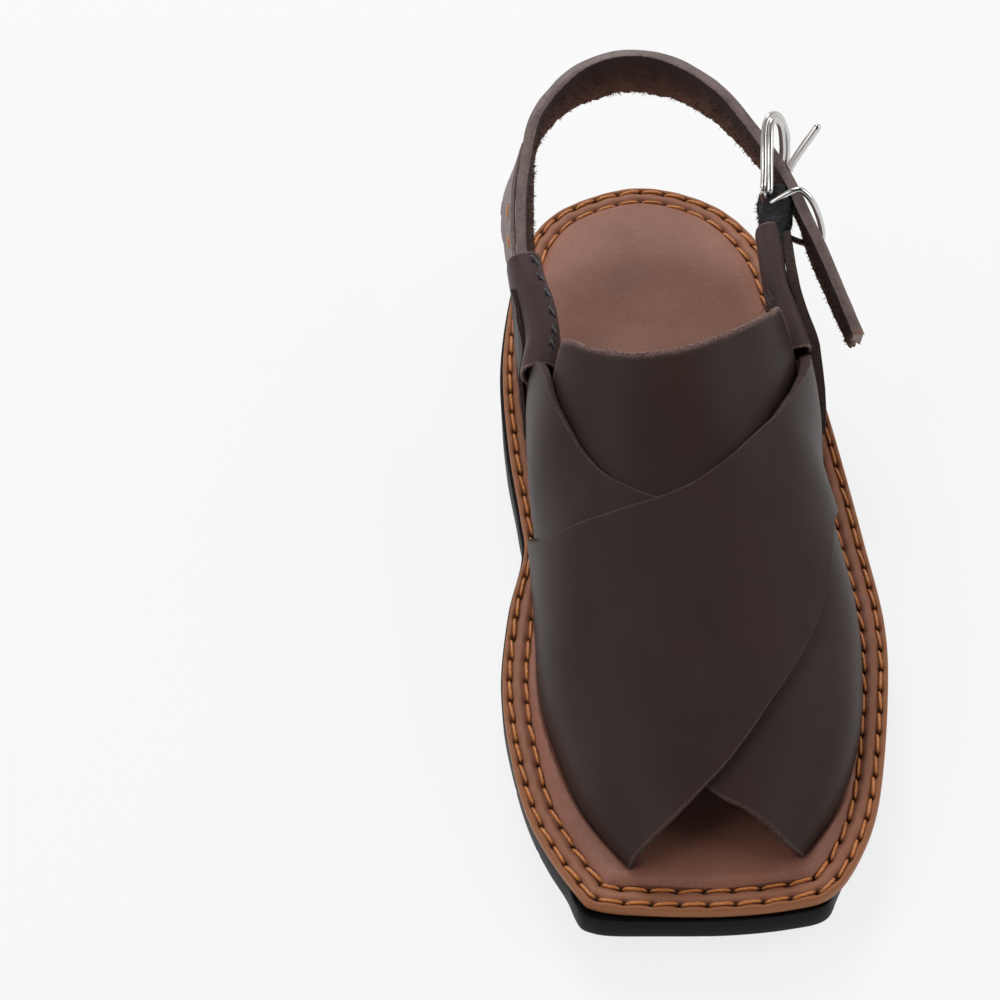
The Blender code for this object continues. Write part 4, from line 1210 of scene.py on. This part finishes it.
def strap_section(stations=(9, 4, 17, 4)):
    """Corners of the strap's section in shares of its half thickness and half width, with marks.

    Grain face from its lower edge up, top edge, suede face down, lower edge. suede runs from 0 on
    the grain to 1 on the flesh, low from 0 at the top to 1 at the lower edge.
    """
    face, edge, flesh, foot = stations
    cut = 0.86
    rows = [(1.0, level, 0.0, 0.0) for level in np.linspace(-0.96, 0.96, face)]
    for turn in np.linspace(0.0, np.pi, edge + 2)[1:-1]:
        rows.append((np.cos(turn) * cut, 0.96 + 0.04 * np.sin(turn), 0.0, 0.0))
    for part in np.linspace(0.0, 1.0, flesh):
        rows.append((-1.0, 0.96 - 1.92 * part, 0.38 + 0.62 * min(1.0, part * 12.0), part))
    for turn in np.linspace(0.0, np.pi, foot + 2)[1:-1]:
        rows.append((-np.cos(turn) * cut, -0.96 - 0.04 * np.sin(turn), 0.9 - 0.2 * turn, 1.0))
    return np.array(rows)


def jagged(length, pitch, seed):
    """Random height along a length, straight between nodes a pitch apart."""
    chance = np.random.default_rng(seed)
    nodes = np.arange(0.0, length.max() + 2.0 * pitch, pitch)
    return np.interp(length, nodes, chance.uniform(-1.0, 1.0, len(nodes)))


class Strap:
    """Stations of the strap from its return layer's free end over the fold to the tail."""

    def __init__(self, stations=420):
        table = np.asarray(STRAP_LINE, float)
        middle = smooth_through(line_points(table[:, :3]), stations)
        lean = line_values(table, np.linspace(0.0, 1.0, stations))[0]
        along, out, across = band_frames(middle, lean)
        length = travelled(middle)
        doubled = int(np.searchsorted(length, RETURN_LENGTH))
        splay, thick = read_table(RETURN_SHAPE, length[:doubled] / RETURN_LENGTH)
        splay = splay[:, None] / 1000.0
        half = STRAP_THICKNESS / 2.0
        tilt = splay / STRAP_WIDTH
        layer_across = unit(across[:doubled] - out[:doubled] * tilt)
        layer_out = unit(out[:doubled] + across[:doubled] * tilt)
        stand = half * (1.0 + thick[:, None]) + RETURN_GAP + splay / 2.0
        layer = middle[:doubled] + out[:doubled] * stand
        turn = np.linspace(0.0, np.pi, 15)[1:-1, None]
        radial = out[0] * np.cos(turn) - along[0] * np.sin(turn)
        offset = np.linalg.norm(layer[0] - middle[0])
        fold = middle[0] + (out[0] + radial) * offset / 2.0
        self.middle = np.vstack([layer[::-1], fold, middle])
        self.out = np.vstack([-layer_out[::-1], -radial, out])
        self.across = np.vstack([layer_across[::-1], np.repeat(across[:1], len(turn), 0), across])
        self.thick = np.concatenate([thick[::-1], np.ones(len(turn) + stations)])
        self.doubled = doubled
        self.main = doubled + len(turn)
        self.length = travelled(self.middle)

    def at(self, index, side, level):
        """Point at stations, side of the half thickness out and level of the half width across."""
        half = STRAP_THICKNESS / 2.0 * self.thick[index]
        return (self.middle[index] + self.out[index] * np.reshape(half * side, (-1, 1))
                + self.across[index] * np.reshape(level * STRAP_WIDTH / 2.0, (-1, 1)))


def build_strap(strap):
    """Section swept along the strap, ragged at its lower edge and torn at its tail."""
    section = strap_section()
    half = STRAP_THICKNESS / 2.0 * strap.thick[:, None, None]
    side = section[None, :, :1]
    level = section[None, :, 1:2]
    foot = section[None, :, 3:4] ** 4.0
    tear = jagged(strap.length, 0.0006, 4) * 0.00045 + jagged(strap.length, 0.0021, 5) * 0.00050
    down = level * STRAP_WIDTH / 2.0 + foot * tear[:, None, None]
    wobble = (jagged(strap.length, 0.004, 6) * 0.00010)[:, None, None] * np.sign(side)
    points = (strap.middle[:, None] + strap.out[:, None] * (side * half + wobble)
              + strap.across[:, None] * down)
    chance = np.random.default_rng(12)
    heading = unit(strap.middle[-1] - strap.middle[-3])
    points[-1] += heading * (0.0006 + 0.0009 * chance.uniform(-1.0, 1.0, len(section)))[:, None]
    rows, columns = points.shape[:2]
    faces = strand_faces(1, rows, columns)
    end = np.clip(1.0 - (strap.length[-1] - strap.length) / 0.0016, 0.0, 1.0)
    # The return layer is shaved on the side that shows and keeps small patches of suede
    shaved = (np.arange(rows) < strap.doubled)[:, None]
    marks = {
        "suede": np.where(shaved, 0.34, section[None, :, 2]),
        "low": np.broadcast_to(section[None, :, 3], (rows, columns)),
        "raw_end": np.repeat(end, columns),
    }
    return add_piece("strap_leather", points, faces, strap_finish(), ["heel_strap"],
                     marks, 60.0)


def add_fibres(name, roots, ways, length, girth, material, seed):
    """Tapered hairs with three sides, each bent a little at its middle."""
    chance = np.random.default_rng(seed)
    count = len(roots)
    ways = unit(ways)
    first = unit(np.cross(ways, [0.31, 0.22, 0.92]))
    reach = length * chance.uniform(0.35, 1.0, count)[:, None]
    angle = circle(3)
    ring = round_about(first, np.cross(ways, first), angle)
    bend = chance.normal(0.0, 0.22, (count, 3)) * reach
    middle = roots + ways * reach * 0.5 + bend * 0.4
    tip = roots + ways * reach + bend * 1.6
    points = np.concatenate([roots[:, None] + ring * girth, middle[:, None] + ring * girth * 0.7,
                             tip[:, None]], 1)
    faces = []
    pattern = [(0, 1, 4, 3), (1, 2, 5, 4), (2, 0, 3, 5), (3, 4, 6), (4, 5, 6), (5, 3, 6), (2, 1, 0)]
    for start in range(0, 7 * count, 7):
        faces += [tuple(start + corner for corner in face) for face in pattern]
    add_piece(name, points, faces, material, (), None, 80.0)


def hair_finish(name, dark, light):
    """Short matt hairs, each lighter or darker than the next."""
    finish = Finish(name)
    vary = finish.noise(0.0012, 2.0, 0.6)
    colour = finish.mix(vary.fade(0.35, 0.65), dark, light)
    return finish.surface(Base_Color=colour, Roughness=0.85, Specular_IOR_Level=0.2)


def strap_hairs(strap):
    """Hairs that hang from the suede's lower edge and stand up from its face."""
    chance = np.random.default_rng(31)
    count = STRAP_HAIRS
    index = chance.integers(strap.main + BARE_STATIONS, len(strap.middle) - 1, count)
    side = chance.uniform(-1.0, 0.4, count)
    roots = strap.at(index, side, np.full(count, -0.965))
    ways = (-strap.across[index] * chance.uniform(0.5, 1.0, count)[:, None]
            + chance.normal(0.0, 0.55, (count, 3)))
    nap = chance.integers(strap.main + BARE_STATIONS, len(strap.middle) - 1, count)
    roots = np.vstack([roots, strap.at(nap, np.full(count, -1.0), chance.uniform(-0.96, 0.5, count))])
    ways = np.vstack([ways, -strap.out[nap] + chance.normal(0.0, 0.6, (count, 3))])
    brown = hair_finish("suede_hairs", (0.030, 0.013, 0.009), (0.135, 0.062, 0.042))
    add_fibres("strap_hairs", roots, ways, STRAP_HAIR_LENGTH, 0.00014, brown, 7)


def strap_stitches(strap):
    """Four stitches that hold the return layer to the strap."""
    index = (strap.doubled * np.array(RETURN_STITCHES)).astype(int)
    count = len(index)
    centre = strap.at(index, np.full(count, -1.05), np.full(count, 0.42))
    ways = strap.middle[index + 2] - strap.middle[index - 2]
    points, faces = bead_points(centre, ways, 0.0024, 0.00048)
    rows = points.shape[1] * points.shape[2]
    twist = np.tile(np.repeat(np.linspace(0.0, 18.0, points.shape[1]), points.shape[2]), count)
    add_piece("strap_stitches", points, faces, thread_finish(), (),
              {"twist": twist, "dive_shade": np.zeros(count * rows)}, 80.0)


strap = Strap()
strap_band = build_strap(strap)
strap_hairs(strap)
strap_stitches(strap)


# Black loop
# A folded band of black brushed leather that runs from the outer tab up round the buckle's bar. It is
# rough and hairy, and thickest where it is turned over the wires.

LOOP_WIDTH = 0.0135
LOOP_UNEVEN = 0.05
LOOP_HAIRS = 700
LOOP_HAIRY_ROWS = 46
HAIR_LENGTH = 0.0013

# Middle line from the bar into the tab: across, along, height; half thickness in millimetres
LOOP_LINE = [
    (0.905, 0.172, 0.868, 3.0), (0.915, 0.186, 0.850, 5.0), (0.915, 0.208, 0.818, 5.2),
    (0.875, 0.245, 0.768, 3.0), (0.905, 0.290, 0.703, 2.4), (0.965, 0.330, 0.640, 2.2),
]


def loop_finish():
    """Black brushed leather with grey dust in its nap."""
    finish = Finish("black_loop_leather")
    nap = finish.noise(0.0012, 4.0, 0.7)
    fold = finish.noise(0.0040, 3.0, 0.6)
    colour = finish.mix(nap.fade(0.50, 0.80) * 0.8, (0.006, 0.007, 0.008), (0.034, 0.040, 0.044))
    normal = finish.bump(nap, 0.0006, 0.8)
    normal = finish.bump(fold, 0.0012, 0.6, normal)
    return finish.surface(Base_Color=colour, Roughness=0.55, Normal=normal, Specular_IOR_Level=0.35)


def build_loop():
    """Soft rounded section swept from the bar to the tab, uneven all over."""
    table = np.asarray(LOOP_LINE, float)
    stations, around = 90, 40
    middle = smooth_through(line_points(table[:, :3]), stations)
    half = line_values(table, np.linspace(0.0, 1.0, stations))[0] / 1000.0
    _, out, across = band_frames(middle, 0.04)
    angle = circle(around)
    power = 2.0 / 3.0
    side = rounded(np.cos(angle), power)
    level = rounded(np.sin(angle), power)
    length = travelled(middle)
    waves = np.sin(length[:, None] * 1900.0 + angle * 3.0) * np.sin(angle * 5.0 + length[:, None] * 900.0)
    uneven = 1.0 + LOOP_UNEVEN * waves
    close = np.sqrt(np.clip(np.minimum(length, 0.003) / 0.003, 0.10, 1.0))[:, None]
    shape_side = side[None] * half[:, None] * uneven * close
    shape_level = level[None] * LOOP_WIDTH / 2.0 * uneven * close
    points = (middle[:, None] + out[:, None] * shape_side[..., None]
              + across[:, None] * shape_level[..., None])
    add_piece("loop_leather", points, strand_faces(1, stations, around), loop_finish(),
              ["buckle_loop"], None, 80.0)
    chance = np.random.default_rng(17)
    row = chance.integers(2, LOOP_HAIRY_ROWS, LOOP_HAIRS)
    column = chance.integers(0, around, LOOP_HAIRS)
    roots = points[row, column]
    ways = roots - middle[row] + chance.normal(0.0, 0.003, (LOOP_HAIRS, 3))
    add_fibres("loop_hairs", roots, ways, HAIR_LENGTH, 0.00010,
               hair_finish("black_hairs", (0.006, 0.006, 0.007), (0.040, 0.044, 0.048)),
               9)


build_loop()


# Buckle
# Plated steel wire, bent by hand: a ring whose two strands lie side by side over the strap, a keeper
# bow over the tail and a straight prong that stands up free. The prong goes through a hole in the strap.

WIRE = 0.0021
KEEPER_WIRE = 0.0020
PRONG_WIRE = 0.0025
PRONG_CLEARANCE = 0.0008

# Wires in millimetres from the origin: across, along and up
RING_WIRE = [
    (33.7, -14.0, 77.6), (34.3, -9.2, 80.4), (34.8, -3.0, 84.6), (35.7, 3.5, 87.5), (37.6, 7.4, 88.4),
    (40.6, 9.2, 86.0), (42.9, 9.4, 78.5), (43.1, 8.0, 71.5), (42.4, 4.0, 65.0), (40.6, -3.5, 60.4),
    (38.3, -10.5, 58.0), (36.2, -14.2, 62.0), (34.7, -15.0, 70.0),
]
SECOND_WIRE = [
    (35.6, -15.4, 76.8), (35.9, -12.4, 79.0), (36.2, -8.0, 81.6), (36.7, -2.2, 85.6), (37.6, 4.0, 88.2),
    (39.2, 6.6, 87.1), (40.9, 7.4, 83.0), (41.6, 6.8, 75.0), (41.2, 5.4, 70.0),
]
KEEPER_BOW = [
    (37.0, -14.2, 62.0), (35.2, -16.0, 70.0), (35.8, -16.2, 73.4), (39.8, -15.8, 76.4),
    (43.7, -15.4, 78.0), (46.0, -15.8, 77.4), (48.6, -17.4, 74.4), (50.6, -19.2, 69.2),
    (51.6, -20.4, 63.4), (50.6, -20.2, 60.0), (46.4, -18.4, 58.2), (41.0, -15.4, 58.6),
]
PRONG = [
    (36.6, -13.6, 66.6), (40.6, -8.6, 69.8), (42.2, -5.4, 76.4), (45.2, -3.4, 81.4), (51.8, 0.2, 90.2),
]


def steel_finish():
    """Bright plating with faint wear."""
    finish = Finish("bright_steel")
    wear = finish.noise(0.0016, 3.0, 0.6)
    haze = finish.noise(0.006, 2.0, 0.5)
    colour = finish.mix(wear.fade(0.55, 0.80) * 0.35, (0.60, 0.595, 0.585), (0.36, 0.355, 0.345))
    normal = finish.bump(wear, 0.00006, 0.35)
    return finish.surface(Base_Color=colour, Metallic=1.0, Roughness=haze * 0.14 + 0.07, Normal=normal)


def wire_points(line, girth, around=18):
    """Rings of a round wire, turned as little as can be from one point to the next.

    girth is its radius, one value for each point of the line.
    """
    along = unit(np.gradient(line, axis=0))
    first = np.cross(along[0], [0.3, 0.2, 0.9])
    sideways = []
    for direction_here in along:
        first = unit(first - (first @ direction_here) * direction_here)
        sideways.append(first)
    sideways = np.array(sideways)
    angle = circle(around)
    ring = round_about(sideways, np.cross(along, sideways), angle)
    return line[:, None] + ring * np.reshape(girth, (-1, 1, 1))


def wire_shape(rows, diameter, stations=140, tips=(0.6, 0.6)):
    """Points and faces of a wire through points in millimetres, its ends rounded to shares of it."""
    line = smooth_through(np.array(rows) / 1000.0, stations)
    length = travelled(line)
    radius = diameter / 2.0
    near = tips[0] + (1.0 - tips[0]) * np.sqrt(np.minimum(length / radius, 1.0))
    far = tips[1] + (1.0 - tips[1]) * np.sqrt(np.minimum((length[-1] - length) / radius, 1.0))
    points = wire_points(line, radius * near * far)
    return points.reshape(-1, 3), strand_faces(1, *points.shape[:2])


def build_buckle():
    """Wires of the buckle, and the hole that the prong has worn in the strap."""
    steel = steel_finish()
    wires = [
        ("buckle_ring_wire", wire_shape(RING_WIRE + RING_WIRE[:1], WIRE), ["buckle_frame"]),
        ("buckle_second_wire", wire_shape(SECOND_WIRE, WIRE, 90, (0.25, 0.6)), []),
        ("buckle_keeper_wire", wire_shape(KEEPER_BOW, KEEPER_WIRE), []),
        ("buckle_prong_wire", wire_shape(PRONG, PRONG_WIRE, 90, (0.6, 0.35)), ["buckle_prong"]),
    ]
    for name, (points, faces), replaced in wires:
        add_piece(name, points, faces, steel, replaced, None, 60.0)
    carve(strap_band, *wire_shape(PRONG, PRONG_WIRE + PRONG_CLEARANCE, 40))


build_buckle()


# Floor, light and camera
# A white sweep under soft studio light from above and behind, seen from above the toe.

FLOOR_WHITE = (0.135, 0.137, 0.139)
FLOOR_GLOW = 0.807
CAMERA_PLACE = (-0.04469, -0.72699, 0.76306)
CAMERA_BACK = (0.00699, -0.65459, 0.75595)
CAMERA_RIGHT = (0.99856, -0.03563, -0.04009)
SENSOR_WIDTH = 36.0
LENS_SHARE = 3.225

# Section of the sheet under the shoe: depth, height
FLOOR_SECTION = [
    (-3.0, 0.0), (0.0, 0.0), (2.0, 0.0), (2.6, 0.08), (3.0, 0.35), (3.2, 0.9), (3.3, 2.5),
]

# Soft lights: name, place, aim, side of the square, power in watts
LIGHTS = [
    ("back_light", (-0.15, 0.95, 1.20), (0.0, 0.0, 0.03), 0.55, 11.0),
    ("left_light", (-1.0, -0.45, 1.15), (0.0, -0.1, 0.0), 0.9, 5.5),
    ("right_light", (1.1, -0.25, 1.00), (0.0, -0.1, 0.0), 0.8, 4.5),
]


def build_floor():
    """Pale sheet that curves up far behind the shoe."""
    width = np.linspace(-3.0, 3.0, 3)
    depth, height = np.array(FLOOR_SECTION).T
    points = np.stack(np.broadcast_arrays(width[None], depth[:, None], height[:, None]), -1)
    mesh = bpy.data.meshes.new("floor")
    mesh.from_pydata(points.reshape(-1, 3).tolist(), [], grid_faces(len(depth), len(width)).tolist())
    mesh.shade_smooth()
    floor = link("floor", mesh)
    finish = Finish("studio_floor")
    mesh.materials.append(finish.surface(Base_Color=FLOOR_WHITE, Roughness=0.9, Specular_IOR_Level=0.1,
                                         Emission_Color=(1.0, 1.0, 1.0), Emission_Strength=FLOOR_GLOW))


def build_world():
    """Light tent, bright round the horizon and dim overhead, with a dark patch in front of the toe."""
    finish = Finish("studio", bpy.data.worlds.new("studio"), "Background")
    way = finish.node("ShaderNodeTexCoord", {}, {}, "Generated")
    up = finish.node("ShaderNodeSeparateXYZ", {}, {"Vector": way}, "Z")
    dark = unit(CAMERA_BACK).tolist()
    ahead = finish.node("ShaderNodeVectorMath", {"operation": "DOT_PRODUCT"}, {0: way, 1: dark}, "Value")
    sky = finish.mix(up.fade(0.10, 0.80), (0.99, 0.92, 0.89), (0.36, 0.335, 0.325))
    colour = finish.mix(ahead.fade(0.62, 0.93), sky, (0.06, 0.06, 0.06))
    finish.surface(Color=colour, Strength=1.0)
    bpy.context.scene.world = finish.material


def add_light(name, place, aim, size, power):
    """Square soft light aimed at a point."""
    light = bpy.data.lights.new(name, "AREA")
    light.energy = power
    light.size = size
    lamp = link(name, light)
    lamp.location = place
    turn = (np.array(aim) - np.array(place)).tolist()
    lamp.rotation_euler = Vector(turn).to_track_quat("-Z", "Y").to_euler()


def build_camera():
    """Camera that looks along the photograph's line of sight."""
    lens = bpy.data.cameras.new("camera")
    lens.sensor_width = SENSOR_WIDTH
    lens.lens = SENSOR_WIDTH * LENS_SHARE
    lens.clip_start = 0.01
    camera = link("camera", lens)
    back = unit(CAMERA_BACK)
    right = unit(np.array(CAMERA_RIGHT) - np.dot(CAMERA_RIGHT, back) * back)
    turn = np.column_stack([right, np.cross(back, right), back, CAMERA_PLACE])
    camera.matrix_world = Matrix(np.vstack([turn, [0.0, 0.0, 0.0, 1.0]]).tolist())
    bpy.context.scene.camera = camera


build_floor()
build_world()
bpy.context.scene.view_settings.view_transform = "Standard"
for row in LIGHTS:
    add_light(*row)
build_camera()
